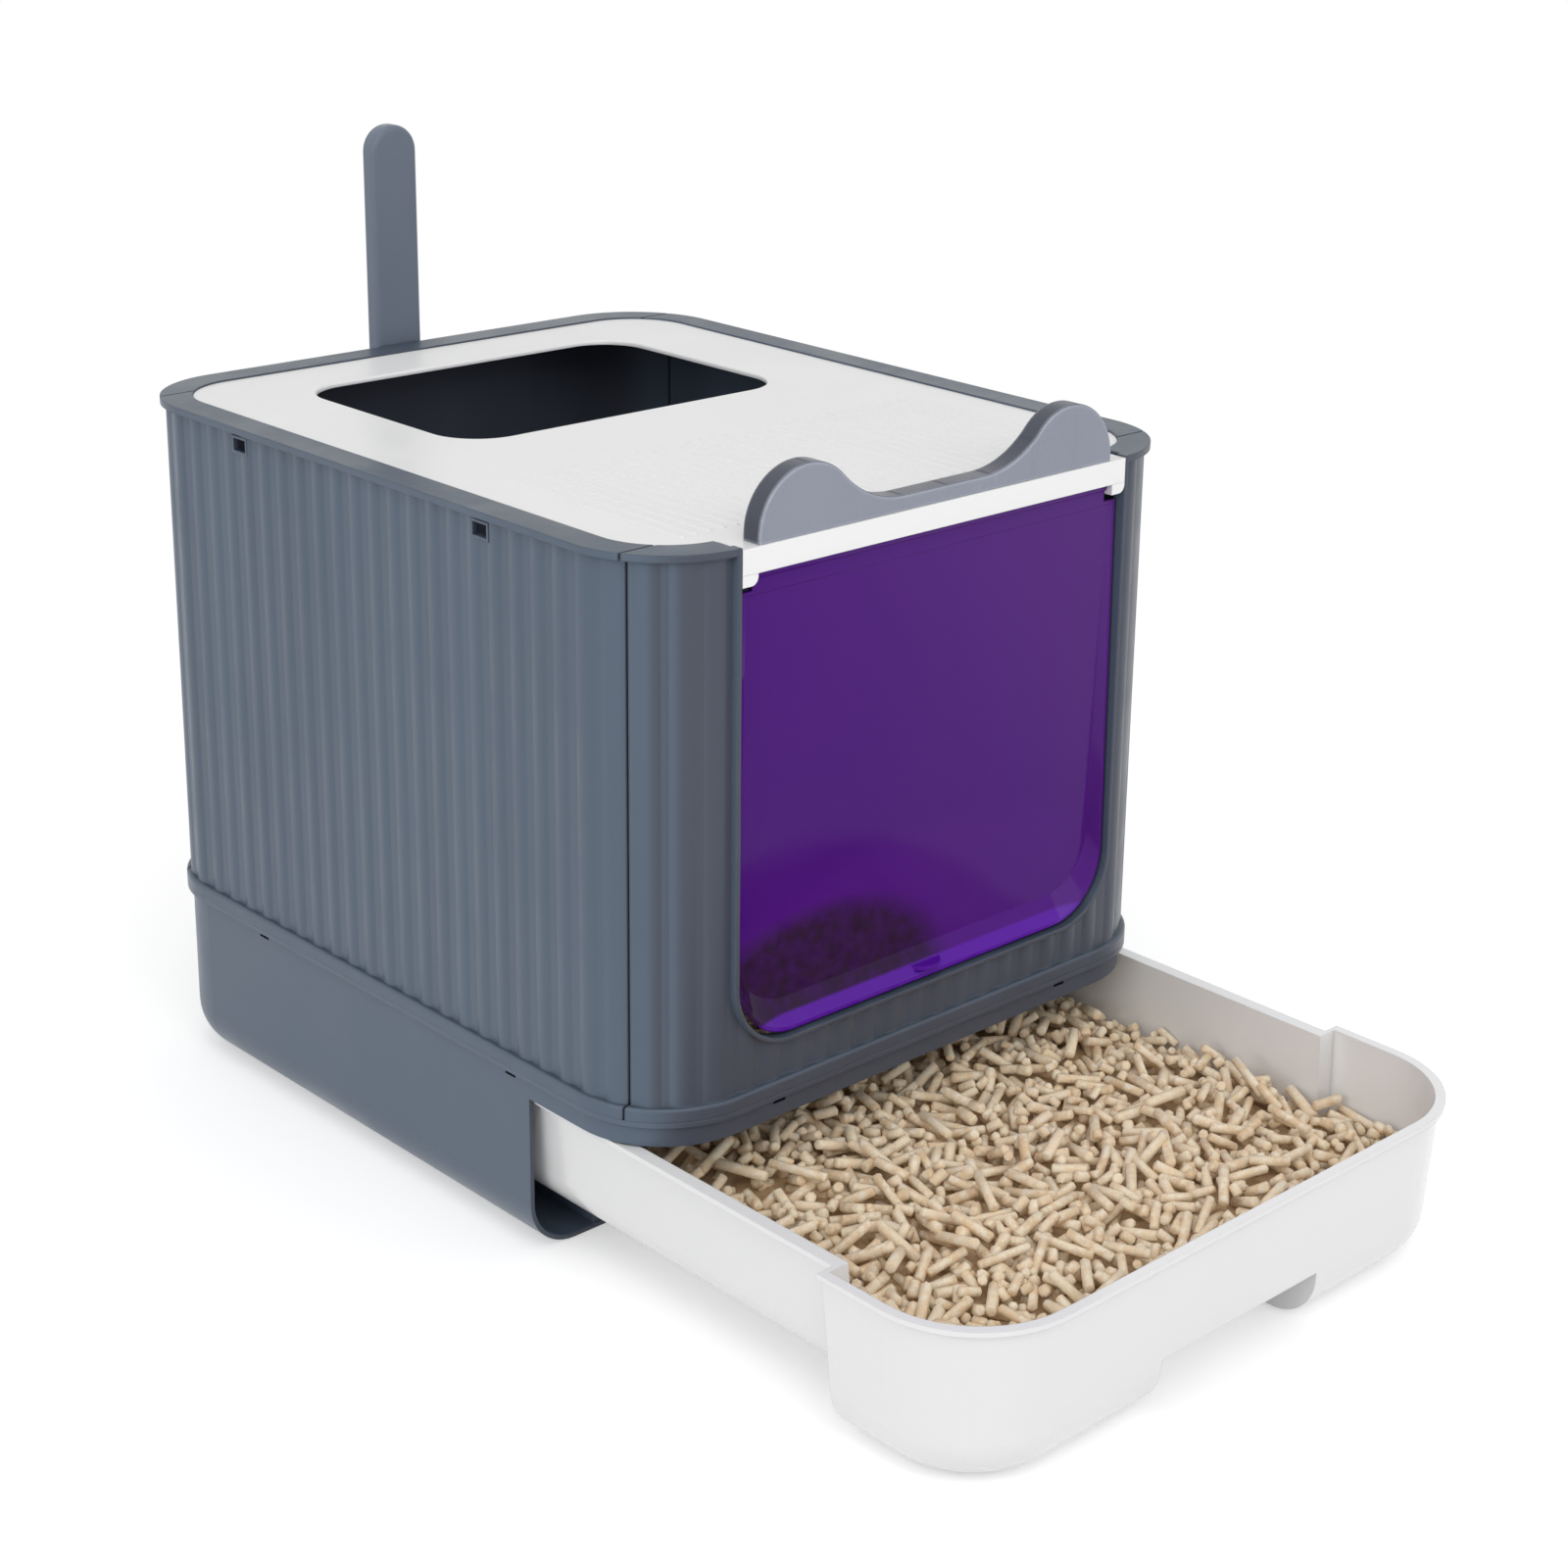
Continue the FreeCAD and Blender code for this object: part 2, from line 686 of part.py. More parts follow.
def tray_form(label, inset, floor_inset, top):
    """The drawer's body, narrow behind and wide in front, shrunk by an inset."""
    body = new_body(label)
    sink = (drawer_top - top) * wall_draft
    slope = "-atan(" + wall_draft.formula + ")"
    back = tray_back - drawer_lower_gap - inset
    half = drawer_half - drawer_lower_gap - inset - sink
    sketch = new_sketch(body, "narrow", "XY_Plane", top)
    outline(sketch, -half, half, tray_step - drawer_foot_round, back - sink, high_radius=drawer_rear_radius - inset)
    narrow_low = drawer_floor + floor_inset
    narrow = extrude(body, "Pad", sketch, top - narrow_low, reverse=True, taper=slope)
    edges = edges_where(narrow, lambda p: near(p.z, narrow_low), lambda p: p.y > number(tray_step))
    round_edges(body, narrow, edges, drawer_foot_round - inset)
    half = tray_front_half - inset - sink
    front = tray_front + tray_lip + inset + sink
    rear = tray_step - inset - sink
    sketch = new_sketch(body, "wide", "XY_Plane", top)
    outline(sketch, -half, half, front, rear, low_radius=tray_front_radius - inset)
    wide_low = tray_floor + floor_inset
    wide = extrude(body, "Pad", sketch, top - wide_low, reverse=True, taper=slope)
    limit = number(tray_step) - number(drawer_foot_round) / 2
    edges = edges_where(wide, lambda p: near(p.z, wide_low), lambda p: p.y < limit)
    round_edges(body, wide, edges, tray_foot_round - inset)
    half = finger_half + inset
    clear(body, "finger", "XZ_Plane", -(tray_front - 5), -half, half, -10, finger_height + inset,
          finger_depth + 5 + inset)
    return body


# Drawer: deep tray that runs in the tub, its wide front filling the open mouth
tray_front = -(rim_front + drawer_pull)
tray_step = -(mouth_reach + mouth_gap + drawer_pull)
tray_back = half_depth - wall - drawer_rear_gap - drawer_pull
tray_outside = tray_form("tray_outside", zero, zero, drawer_top)
tray_inside = tray_form("tray_inside", drawer_wall, drawer_wall, drawer_top)
flange = new_body("tray_flange")
sketch = new_sketch(flange, "rim", "XY_Plane", drawer_top - drawer_rim_thickness)
outline(sketch, -drawer_half, drawer_half, tray_step - 5, tray_back, high_radius=drawer_rear_radius + drawer_lower_gap)
extrude(flange, "Pad", sketch, drawer_rim_thickness)
sketch = new_sketch(flange, "lip", "XY_Plane", drawer_top - tray_lip_thickness)
half = tray_front_half + tray_lip
outline(sketch, -half, half, tray_front, tray_step, low_radius=tray_front_radius + tray_lip)
extrude(flange, "Pad", sketch, tray_lip_thickness)
solid_tray = merged("solid_tray", [tray_outside, flange])
drawer_tray = combine("Cut", "drawer_tray", solid_tray, tray_inside)
parts["drawer_tray"] = drawer_tray

# Litter filling the drawer, kept a hair off the walls and heaped up a little towards the middle
litter = tray_form("litter_bed", drawer_wall + litter_gap, drawer_wall, litter_height)


def heap_section(name, rise, inset):
    """A level cut through the heap, so far above the litter's edge and so far in from it."""
    sketch = new_sketch(litter, name, "XY_Plane", litter_height + rise)
    slack = drawer_wall + litter_gap + heap_edge + (drawer_top - litter_height) * wall_draft
    half = drawer_half - drawer_lower_gap - slack - inset
    front = tray_front + tray_lip + slack + inset
    rear = tray_back - drawer_lower_gap - slack - inset
    outline(sketch, -half, half, front, rear, heap_front_radius, heap_rear_radius)
    return sketch


heap_foot = heap_section("heap_foot", zero, zero)
heap_crown = heap_section("heap_crown", heap_rise, heap_slope)
loft_between(litter, "AdditiveLoft", "litter_heap", heap_foot, heap_crown)
parts["litter_bed"] = litter

# Top cover with the exit hole, the traction ridges and the bar across the doorway
cover = new_body("top_cover")
cover_offset = rim_inner - running_gap
sketch = new_sketch(cover, "plate", "XY_Plane", plate_bottom)
wall_outline(sketch, cover_offset, "o")
extrude(cover, "Pad", sketch, cover_plate)
bar_half = opening_half - running_gap
sketch = new_sketch(cover, "bridge", "XY_Plane", plate_bottom)
outline(sketch, -bar_half, bar_half, -bar_front, -(half_depth + cover_offset) + 20)
extrude(cover, "Pad", sketch, cover_plate)
sketch = new_sketch(cover, "bar", "XZ_Plane", bar_front)
outline(sketch, -bar_half, bar_half, bar_bottom, cover_top)
extrude(cover, "Pad", sketch, bar_thickness, reverse=True)
ring(cover, "skirt", cover_offset, cover_offset - skirt_thickness, ledge_top + running_gap, plate_bottom)
sketch = new_sketch(cover, "hole", "XY_Plane", box_height)
outline(sketch, -hole_half, hole_half, hole_rear - hole_length, hole_rear, hole_radius, hole_radius)
hole = extrude(cover, "Pocket", sketch, box_height)
edges = edges_where(hole, lambda p: near(p.z, cover_top) and near(
    max(abs(p.x) - number(hole_half), abs(p.y - number(hole_rear - hole_length / 2)) - number(hole_length / 2)), 0))
round_edges(cover, hole, edges, hole_round)
sketch = new_sketch(cover, "sockets", "XY_Plane", box_height)
peg_y = -(bar_front - crest_setback - crest_thickness / 2)
for tag, sign in (("left", -1), ("right", 1)):
    middle = peg_offset * sign
    outline(sketch, middle - peg_half - fit_gap, middle + peg_half + fit_gap,
            peg_y - peg_thickness / 2 - fit_gap, peg_y + peg_thickness / 2 + fit_gap, tag=tag)
extrude(cover, "Pocket", sketch, ledge_depth)
sketch = new_sketch(cover, "ridge", "XY_Plane", cover_top - ridge_height)
first = -(ridge_pitch * (ridge_count - 1) / 2)
half = ridge_width / 2
outline(sketch, first - half, first + half, -ridge_front, -(ridge_front - ridge_length),
        half * END_ROUND, half * END_ROUND)
ridge = extrude(cover, "Pad", sketch, ridge_height * 2, taper="-atan(0.9)")
pattern = cover.newObject("PartDesign::LinearPattern", "top_cover_ridges")
pattern.Originals = [ridge]
pattern.Direction = (sketch, ["H_Axis"])
bind(pattern, "Length", ridge_pitch * (ridge_count - 1))
pattern.Occurrences = ridge_count
cover.Tip = pattern
parts["top_cover"] = cover

# Crest standing on the front edge of the cover: two humps joined by a shallow valley
crest = new_body("ear_crest")
hump_radius = crest_half - crest_hump
hump_height = cover_top + crest_height - hump_radius
valley_height = cover_top + crest_valley
sweep_height = valley_height + crest_sweep
rise = number(sweep_height) - number(hump_height)
reach = math.sqrt((number(hump_radius) + number(crest_sweep)) ** 2 - rise ** 2)
sweep_x = number(crest_hump) - reach
share = number(hump_radius) / (number(hump_radius) + number(crest_sweep))
touch = vector(number(crest_hump) - share * reach, number(hump_height) + share * rise)
sketch = new_sketch(crest, "outline", "XZ_Plane", bar_front - crest_setback)
axis = FreeCAD.Vector(0, 0, 1)
start_turn = math.atan2(touch.y - number(hump_height), touch.x - number(crest_hump))
sweep_turn = math.atan2(touch.y - number(sweep_height), touch.x - sweep_x)
hump_circle = Part.Circle(vector(crest_hump, hump_height), axis, number(hump_radius))
right_hump = sketch.addGeometry(Part.ArcOfCircle(hump_circle, 0, start_turn), False)
sweep_circle = Part.Circle(vector(sweep_x, sweep_height), axis, number(crest_sweep))
right_sweep = sketch.addGeometry(Part.ArcOfCircle(sweep_circle, math.radians(270), sweep_turn + 2 * math.pi), False)
valley = sketch.addGeometry(Part.LineSegment(vector(sweep_x, valley_height), vector(-sweep_x, valley_height)), False)
sweep_circle = Part.Circle(vector(-sweep_x, sweep_height), axis, number(crest_sweep))
left_sweep = sketch.addGeometry(
    Part.ArcOfCircle(sweep_circle, math.pi - sweep_turn, math.radians(270)), False)
hump_circle = Part.Circle(vector(-crest_hump, hump_height), axis, number(hump_radius))
left_hump = sketch.addGeometry(Part.ArcOfCircle(hump_circle, math.pi - start_turn, math.pi), False)
left_end = sketch.addGeometry(Part.LineSegment(vector(-crest_half, hump_height), vector(-crest_half, cover_top)), False)
foot = sketch.addGeometry(Part.LineSegment(vector(-crest_half, cover_top), vector(crest_half, cover_top)), False)
right_end = sketch.addGeometry(Part.LineSegment(vector(crest_half, cover_top), vector(crest_half, hump_height)), False)
for first, first_end, second, second_end in (
    (right_end, 2, right_hump, 1),
    (right_hump, 2, right_sweep, 2),
    (right_sweep, 1, valley, 1),
    (valley, 2, left_sweep, 2),
    (left_sweep, 1, left_hump, 1),
    (left_hump, 2, left_end, 1),
):
    sketch.addConstraint(Sketcher.Constraint("Tangent", first, first_end, second, second_end))
sketch.addConstraint(Sketcher.Constraint("Coincident", left_end, 2, foot, 1))
sketch.addConstraint(Sketcher.Constraint("Coincident", foot, 2, right_end, 1))
sketch.addConstraint(Sketcher.Constraint("Horizontal", valley))
sketch.addConstraint(Sketcher.Constraint("Horizontal", foot))
sketch.addConstraint(Sketcher.Constraint("Vertical", left_end))
pin_down(sketch, "DistanceY", cover_top, "foot_height", -1, 1, foot, 1)
pin_down(sketch, "DistanceX", -crest_half, "left_end", -1, 1, foot, 1)
pin_down(sketch, "DistanceX", crest_half, "right_end", -1, 1, foot, 2)
pin_down(sketch, "DistanceX", crest_hump, "right_hump", -1, 1, right_hump, 3)
pin_down(sketch, "DistanceX", -crest_hump, "left_hump", -1, 1, left_hump, 3)
pin_down(sketch, "DistanceY", hump_height, "hump_height", -1, 1, right_hump, 3)
pin_down(sketch, "DistanceY", valley_height, "valley_height", -1, 1, valley, 1)
pin_down(sketch, "Radius", crest_sweep, "right_sweep", right_sweep)
pin_down(sketch, "Radius", crest_sweep, "left_sweep", left_sweep)
body_pad = extrude(crest, "Pad", sketch, crest_thickness, reverse=True)
edges = edges_where(body_pad, lambda p: not near(p.z, cover_top) or near(abs(p.x), crest_half),
                    lambda p: not near(p.z, cover_top) and not near(p.y, peg_y, 1))
round_edges(crest, body_pad, edges, crest_round)
sketch = new_sketch(crest, "pegs", "XY_Plane", cover_top - peg_depth)
for tag, sign in (("left", -1), ("right", 1)):
    middle = peg_offset * sign
    outline(sketch, middle - peg_half, middle + peg_half, peg_y - peg_thickness / 2,
            peg_y + peg_thickness / 2, tag=tag)
extrude(crest, "Pad", sketch, peg_depth + crest_round)
parts["ear_crest"] = crest


# Clips that hold the door's pins to the underside of the cover
def hinge_clip(place, outer, inner, bore_from):
    body = new_body("hinge_clip_" + place)
    sketch = new_sketch(body, "hook", "XZ_Plane", bar_front)
    clip_low = hinge_height - clip_below
    outline(sketch, outer, inner, clip_low, bar_bottom)
    hook = extrude(body, "Pad", sketch, clip_depth, reverse=True)
    edges = edges_where(hook, lambda p: near(p.z, clip_low) and near(p.x, max(number(outer), number(inner))))
    round_edges(body, hook, edges, clip_round)
    sketch = new_sketch(body, "stem", "XZ_Plane", bar_front - bar_thickness - fit_gap)
    outline(sketch, outer, inner, bar_bottom - 1, plate_bottom)
    extrude(body, "Pad", sketch, clip_depth - bar_thickness - fit_gap, reverse=True)
    sketch = new_sketch(body, "bore", "YZ_Plane", bore_from)
    circle(sketch, -hinge_front, hinge_height, pin_radius + pin_clearance)
    extrude(body, "Pocket", sketch, pin_reach + clip_gap * 2 + 1, reverse=place == "right")
    parts["hinge_clip_" + place] = body


clip_outer = opening_half - running_gap
clip_inner = clip_outer - clip_width
hinge_clip("left", -clip_outer, -clip_inner, -(clip_inner - 1))
hinge_clip("right", clip_inner, clip_outer, clip_inner - 1)

# Door flap: a dished translucent sheet, shallow above and deep below
door = new_body("door_flap")
barrel_half = clip_inner - clip_gap
door_top = hinge_height
drop = door_top - door_bottom


def door_section(name, lean, behind, inset_side, inset_low, inset_top):
    """A cross-section of the dish on a plane that leans from the hinge line downwards."""
    sketch = new_sketch(door, name, "XZ_Plane", hinge_front + flange_drop - behind, 0.0, door_top)
    inward = number(lean) > 0
    turn = math.degrees(math.atan2(abs(number(lean)), number(drop)))
    axis = FreeCAD.Vector(1 if inward else -1, 0, 0)
    sketch.AttachmentOffset = FreeCAD.Placement(sketch.AttachmentOffset.Base, FreeCAD.Rotation(axis, turn))
    lean_formula = lean.formula if inward else (-lean).formula
    sketch.setExpression("AttachmentOffset.Rotation.Angle", "atan(" + lean_formula + " / " + drop.formula + ")")
    half = door_half - inset_side
    outline(sketch, -half, half, -(drop - inset_low), -inset_top, door_radius - inset_side)
    return sketch


front = door_section("flange_edge", -flange_lean, zero, zero, zero, zero)
back = door_section("back_face", sheet_lean, door_sheet, side_slope, bottom_slope, zero)
loft_between(door, "AdditiveLoft", "door_flap_outside", front, back)
dish_top = shoulder_drop + flange_drop
front = door_section("dish_edge", -(flange_lean + fit_gap), zero, door_sheet, door_sheet, dish_top)
back = door_section("dish_floor", sheet_lean, zero, door_sheet + side_slope, door_sheet + bottom_slope, dish_top)
loft_between(door, "SubtractiveLoft", "door_flap_dish", front, back)
shoulder = door_top - shoulder_drop
for tag, left, right in (("left", -door_half - 5, -barrel_half), ("right", barrel_half, door_half + 5)):
    clear(door, "shoulder_" + tag, "XZ_Plane", bar_front, left, right, shoulder, box_height, clip_depth * 2)
sketch = new_sketch(door, "barrel", "YZ_Plane", -barrel_half)
circle(sketch, -hinge_front, hinge_height, barrel_radius)
extrude(door, "Pad", sketch, barrel_half * 2)
pin_end = barrel_half + pin_reach + clip_gap
sketch = new_sketch(door, "pins", "YZ_Plane", -pin_end)
circle(sketch, -hinge_front, hinge_height, pin_radius)
extrude(door, "Pad", sketch, pin_end * 2)
sketch = new_sketch(door, "tab", "XY_Plane", door_bottom + tab_height)
tab_centre = -(hinge_front + flange_drop + flange_lean + tab_proud - tab_radius)
chord = -(hinge_front + tab_root)
half_chord = math.sqrt(number(tab_radius) ** 2 - (number(chord) - number(tab_centre)) ** 2)
turn = math.atan2(number(chord) - number(tab_centre), half_chord)
tab_circle = Part.Circle(vector(0, tab_centre), FreeCAD.Vector(0, 0, 1), number(tab_radius))
arc = sketch.addGeometry(Part.ArcOfCircle(tab_circle, math.pi - turn, 2 * math.pi + turn), False)
line = sketch.addGeometry(Part.LineSegment(vector(half_chord, chord), vector(-half_chord, chord)), False)
sketch.addConstraint(Sketcher.Constraint("Coincident", arc, 2, line, 1))
sketch.addConstraint(Sketcher.Constraint("Coincident", line, 2, arc, 1))
sketch.addConstraint(Sketcher.Constraint("Horizontal", line))
sketch.addConstraint(Sketcher.Constraint("PointOnObject", arc, 3, -2))
pin_down(sketch, "DistanceY", tab_centre, "tab_centre", -1, 1, arc, 3)
pin_down(sketch, "DistanceY", chord, "chord", -1, 1, line, 1)
pin_down(sketch, "Radius", tab_radius, "tab_radius", arc)
extrude(door, "Pad", sketch, tab_thickness)
parts["door_flap"] = door

# Scoop hanging head down behind the rear wall, its handle standing above the cover
scoop = new_body("scoop")
sketch = new_sketch(scoop, "handle", "XZ_Plane", -scoop_front)
handle_low = scoop_top - handle_length - head_sheet * 2
outline(sketch, -(handle_width / 2), handle_width / 2, handle_low, scoop_top,
        high_radius=handle_width / 2 * END_ROUND)
handle = extrude(scoop, "Pad", sketch, handle_thickness, reverse=True)
edges = edges_where(handle, lambda p: p.z > number(handle_low) + 1 or near(abs(p.x), handle_width / 2),
                    lambda p: p.z > number(handle_low) + 1 and not near(p.y, scoop_front + handle_thickness / 2, 1))
round_edges(scoop, handle, edges, handle_round)
head_top = scoop_top - handle_length
sketch = new_sketch(scoop, "head", "XZ_Plane", -scoop_front)
outline(sketch, -(head_width / 2), head_width / 2, head_bottom, head_top, head_radius, head_radius)
extrude(scoop, "Pad", sketch, head_depth, reverse=True)
sketch = new_sketch(scoop, "bowl", "XZ_Plane", -(scoop_front + head_sheet))
outline(sketch, -(head_width / 2 - head_sheet), head_width / 2 - head_sheet, head_bottom + head_sheet,
        head_top - head_sheet, head_radius - head_sheet, head_radius - head_sheet)
extrude(scoop, "Pocket", sketch, head_depth)
sketch = new_sketch(scoop, "slot", "XZ_Plane", -(scoop_front - 1))
first = -(slot_pitch * (slot_count - 1) / 2)
slot_low = head_bottom + (head_length - slot_length) / 2
outline(sketch, first - slot_width / 2, first + slot_width / 2, slot_low, slot_low + slot_length,
        slot_width / 2 * END_ROUND, slot_width / 2 * END_ROUND)
slot = extrude(scoop, "Pocket", sketch, head_sheet + 2)
pattern = scoop.newObject("PartDesign::LinearPattern", "scoop_slots")
pattern.Originals = [slot]
pattern.Direction = (sketch, ["H_Axis"])
bind(pattern, "Length", slot_pitch * (slot_count - 1))
pattern.Occurrences = slot_count
scoop.Tip = pattern
parts["scoop"] = scoop


def write_parts():
    """Checks every object and writes each sub-part to its own file."""
    document.recompute()
    os.makedirs("parts", exist_ok=True)
    faults = []
    for thing in document.Objects:
        if "Invalid" in thing.State or "Error" in thing.State:
            faults.append(thing.Name)
    if faults:
        raise RuntimeError("features failed: " + ", ".join(faults))
    for label, thing in parts.items():
        shape = thing.Shape
        if shape.isNull() or not shape.isValid() or shape.Volume <= 0:
            raise RuntimeError("no good solid: " + label)
        shape.exportStep("parts/" + label + ".step")
        box = shape.BoundBox
        print("%-18s solids %d  x %.1f..%.1f  y %.1f..%.1f  z %.1f..%.1f" % (
            label, len(shape.Solids), box.XMin, box.XMax, box.YMin, box.YMax, box.ZMin, box.ZMax))


write_parts()
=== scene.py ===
import math
import random

import bmesh
import bpy
import numpy as np
from mathutils import Matrix, Vector
from mathutils.bvhtree import BVHTree


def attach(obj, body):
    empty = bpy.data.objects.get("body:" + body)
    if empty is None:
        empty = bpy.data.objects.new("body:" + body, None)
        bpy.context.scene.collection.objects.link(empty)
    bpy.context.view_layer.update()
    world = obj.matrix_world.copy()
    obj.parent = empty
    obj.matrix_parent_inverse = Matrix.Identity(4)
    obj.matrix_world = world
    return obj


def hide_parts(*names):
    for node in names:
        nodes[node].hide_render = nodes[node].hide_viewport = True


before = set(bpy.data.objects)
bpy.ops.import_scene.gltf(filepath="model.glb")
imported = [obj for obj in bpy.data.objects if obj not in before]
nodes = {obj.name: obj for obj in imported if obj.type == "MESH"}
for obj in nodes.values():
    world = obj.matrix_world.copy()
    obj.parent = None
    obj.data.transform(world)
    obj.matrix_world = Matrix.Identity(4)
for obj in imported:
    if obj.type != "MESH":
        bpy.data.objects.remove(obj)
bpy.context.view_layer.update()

mm = 0.001


# Camera: the photograph's own viewpoint, worked out from the box's straight edges

SENSOR = 36.0  # width in millimetres, as Blender counts it
FRAME_PIXELS = 1600
FOCAL_PIXELS = 2926.3
AXIS_PIXEL = (898.9, 631.7)
CAMERA_PLACE = Vector((-1051.74, -1268.30, 820.80)) * mm
CAMERA_TURN = math.radians(-44.54)
CAMERA_RISE = math.radians(17.68)
CAMERA_ROLL = math.radians(1.29)
NEAREST_SEEN = 0.05
FARTHEST_SEEN = 60


def make_camera():
    data = bpy.data.cameras.new("photo_camera")
    data.sensor_width = SENSOR
    data.sensor_fit = "HORIZONTAL"
    data.lens = FOCAL_PIXELS / FRAME_PIXELS * SENSOR
    data.shift_x = -(AXIS_PIXEL[0] - FRAME_PIXELS / 2) / FRAME_PIXELS
    data.shift_y = (AXIS_PIXEL[1] - FRAME_PIXELS / 2) / FRAME_PIXELS
    data.clip_start = NEAREST_SEEN
    data.clip_end = FARTHEST_SEEN
    back = Vector((
        math.sin(CAMERA_TURN) * math.cos(CAMERA_RISE),
        -math.cos(CAMERA_TURN) * math.cos(CAMERA_RISE),
        math.sin(CAMERA_RISE),
    ))
    right = (-back).cross(Vector((0, 0, 1))).normalized()
    up = back.cross(right)
    rolled_right = right * math.cos(CAMERA_ROLL) + up * math.sin(CAMERA_ROLL)
    rolled_up = up * math.cos(CAMERA_ROLL) - right * math.sin(CAMERA_ROLL)
    turn = Matrix((rolled_right, rolled_up, back)).transposed()
    camera = bpy.data.objects.new("photo_camera", data)
    camera.matrix_world = Matrix.Translation(CAMERA_PLACE) @ turn.to_4x4()
    bpy.context.scene.collection.objects.link(camera)
    bpy.context.scene.camera = camera


make_camera()


# Small helpers for shader trees

MIX_FIRST_COLOR = 6
MIX_SECOND_COLOR = 7
MIX_RESULT_COLOR = 2


class Tree:
    """A node tree with short calls to add nodes, and to link or set their inputs."""

    def __init__(self, tree):
        self.tree = tree

    def add(self, kind, settings=None, **inputs):
        """A new node of the given kind; a name given with an underscore is a socket name with a space."""
        node = self.tree.nodes.new("ShaderNode" + kind)
        for name, value in (settings or {}).items():
            setattr(node, name, value)
        for name, value in inputs.items():
            self.feed(node, name.replace("_", " "), value)
        return node

    def feed(self, node, name, value):
        """Links or sets one input, found by its name, or by its number where names repeat."""
        socket = node.inputs[int(name)] if name.isdigit() else node.inputs[name]
        if isinstance(value, bpy.types.NodeSocket):
            self.link(value, socket)
        else:
            socket.default_value = value

    def link(self, source, target):
        self.tree.links.new(source, target)

    def math(self, operation, first, second=0.0):
        node = self.tree.nodes.new("ShaderNodeMath")
        node.operation = operation
        self.feed(node, "0", first)
        self.feed(node, "1", second)
        return node.outputs[0]

    def span(self, value, low, high, to_low=0.0, to_high=1.0):
        """Carries low..high over to to_low..to_high, with soft ends."""
        node = self.add("MapRange", {"interpolation_type": "SMOOTHSTEP"})
        self.feed(node, "Value", value)
        self.feed(node, "From Min", low)
        self.feed(node, "From Max", high)
        self.feed(node, "To Min", to_low)
        self.feed(node, "To Max", to_high)
        return node.outputs["Result"]

    def blend(self, factor, first, second):
        """The first colour where the factor is 0, the second where it is 1."""
        node = self.tree.nodes.new("ShaderNodeMix")
        node.data_type = "RGBA"
        self.feed(node, "Factor", factor)
        self.feed(node, str(MIX_FIRST_COLOR), first)
        self.feed(node, str(MIX_SECOND_COLOR), second)
        return node.outputs[MIX_RESULT_COLOR]

    def scale(self, color, gain):
        """A colour times a plain number."""
        node = self.add("VectorMath", {"operation": "SCALE"})
        self.feed(node, "0", color)
        self.feed(node, "Scale", gain)
        return node.outputs[0]

    def group(self, tree, **inputs):
        node = self.tree.nodes.new("ShaderNodeGroup")
        node.node_tree = tree
        for name, value in inputs.items():
            self.feed(node, name, value)
        return node


def start_group(name, inputs, outputs):
    """A new node group with its sockets: its tree, its input node and its output node."""
    tree = bpy.data.node_groups.new(name, "ShaderNodeTree")
    for kinds, way in ((inputs, "INPUT"), (outputs, "OUTPUT")):
        for socket_name, kind, value in kinds:
            socket = tree.interface.new_socket(socket_name, in_out=way, socket_type="NodeSocket" + kind)
            if value is not None:
                socket.default_value = value
    return Tree(tree), tree.nodes.new("NodeGroupInput"), tree.nodes.new("NodeGroupOutput")


def gain_around_one(t, noise, amount):
    """A gain that swings by the amount to both sides of 1 as the noise goes from 0 to 1."""
    swing = t.math("MULTIPLY", t.math("SUBTRACT", noise, 0.5), amount)
    return t.math("ADD", t.math("MULTIPLY", swing, 2.0), 1.0)


# Slow drift of tone over a moulding, with a finer mottle
FINE_SHARE = 0.2


def make_tone_drift():
    t, given, out = start_group(
        "tone_drift",
        [("Color", "Color", (0.5, 0.5, 0.5, 1)), ("Amount", "Float", 0.06), ("Patch", "Float", 9.0)],
        [("Color", "Color", None)])
    place = t.add("TexCoord").outputs["Object"]
    broad = t.add("TexNoise", Vector=place, Scale=given.outputs["Patch"], Detail=3.0, Roughness=0.5)
    fine = t.add("TexNoise", Vector=place, Scale=240.0, Detail=2.0, Roughness=0.6)
    broad_part = t.math("MULTIPLY", broad.outputs["Fac"], 1.0 - FINE_SHARE)
    fine_part = t.math("MULTIPLY", fine.outputs["Fac"], FINE_SHARE)
    gain = gain_around_one(t, t.math("ADD", broad_part, fine_part), given.outputs["Amount"])
    t.link(t.scale(given.outputs["Color"], gain), out.inputs["Color"])
    return t.tree


# Rounded edge normal, and a mask that finds the edges, for worn plastic and for a painted highlight
LEAST_EDGE_SHARE = 0.3


def make_edge_rub():
    t, given, out = start_group(
        "edge_rub_and_highlight",
        [("Radius", "Float", 0.001), ("Break", "Float", 0.4)],
        [("Normal", "Vector", None), ("Edge", "Float", None)])
    bevel = t.add("Bevel", {"samples": 4}, Radius=given.outputs["Radius"])
    flat = t.add("NewGeometry").outputs["Normal"]
    dot = t.add("VectorMath", {"operation": "DOT_PRODUCT"})
    t.feed(dot, "0", bevel.outputs[0])
    t.feed(dot, "1", flat)
    bend = t.span(t.math("SUBTRACT", 1.0, dot.outputs["Value"]), 0.01, 0.2)
    place = t.add("TexCoord").outputs["Object"]
    patchy = t.add("TexNoise", Vector=place, Scale=60.0, Detail=3.0, Roughness=0.6)
    broken = t.span(patchy.outputs["Fac"], given.outputs["Break"], 0.75)
    edge_share = t.math("ADD", t.math("MULTIPLY", broken, 1.0 - LEAST_EDGE_SHARE), LEAST_EDGE_SHARE)
    t.link(bevel.outputs[0], out.inputs["Normal"])
    t.link(t.math("MULTIPLY", bend, edge_share), out.inputs["Edge"])
    return t.tree


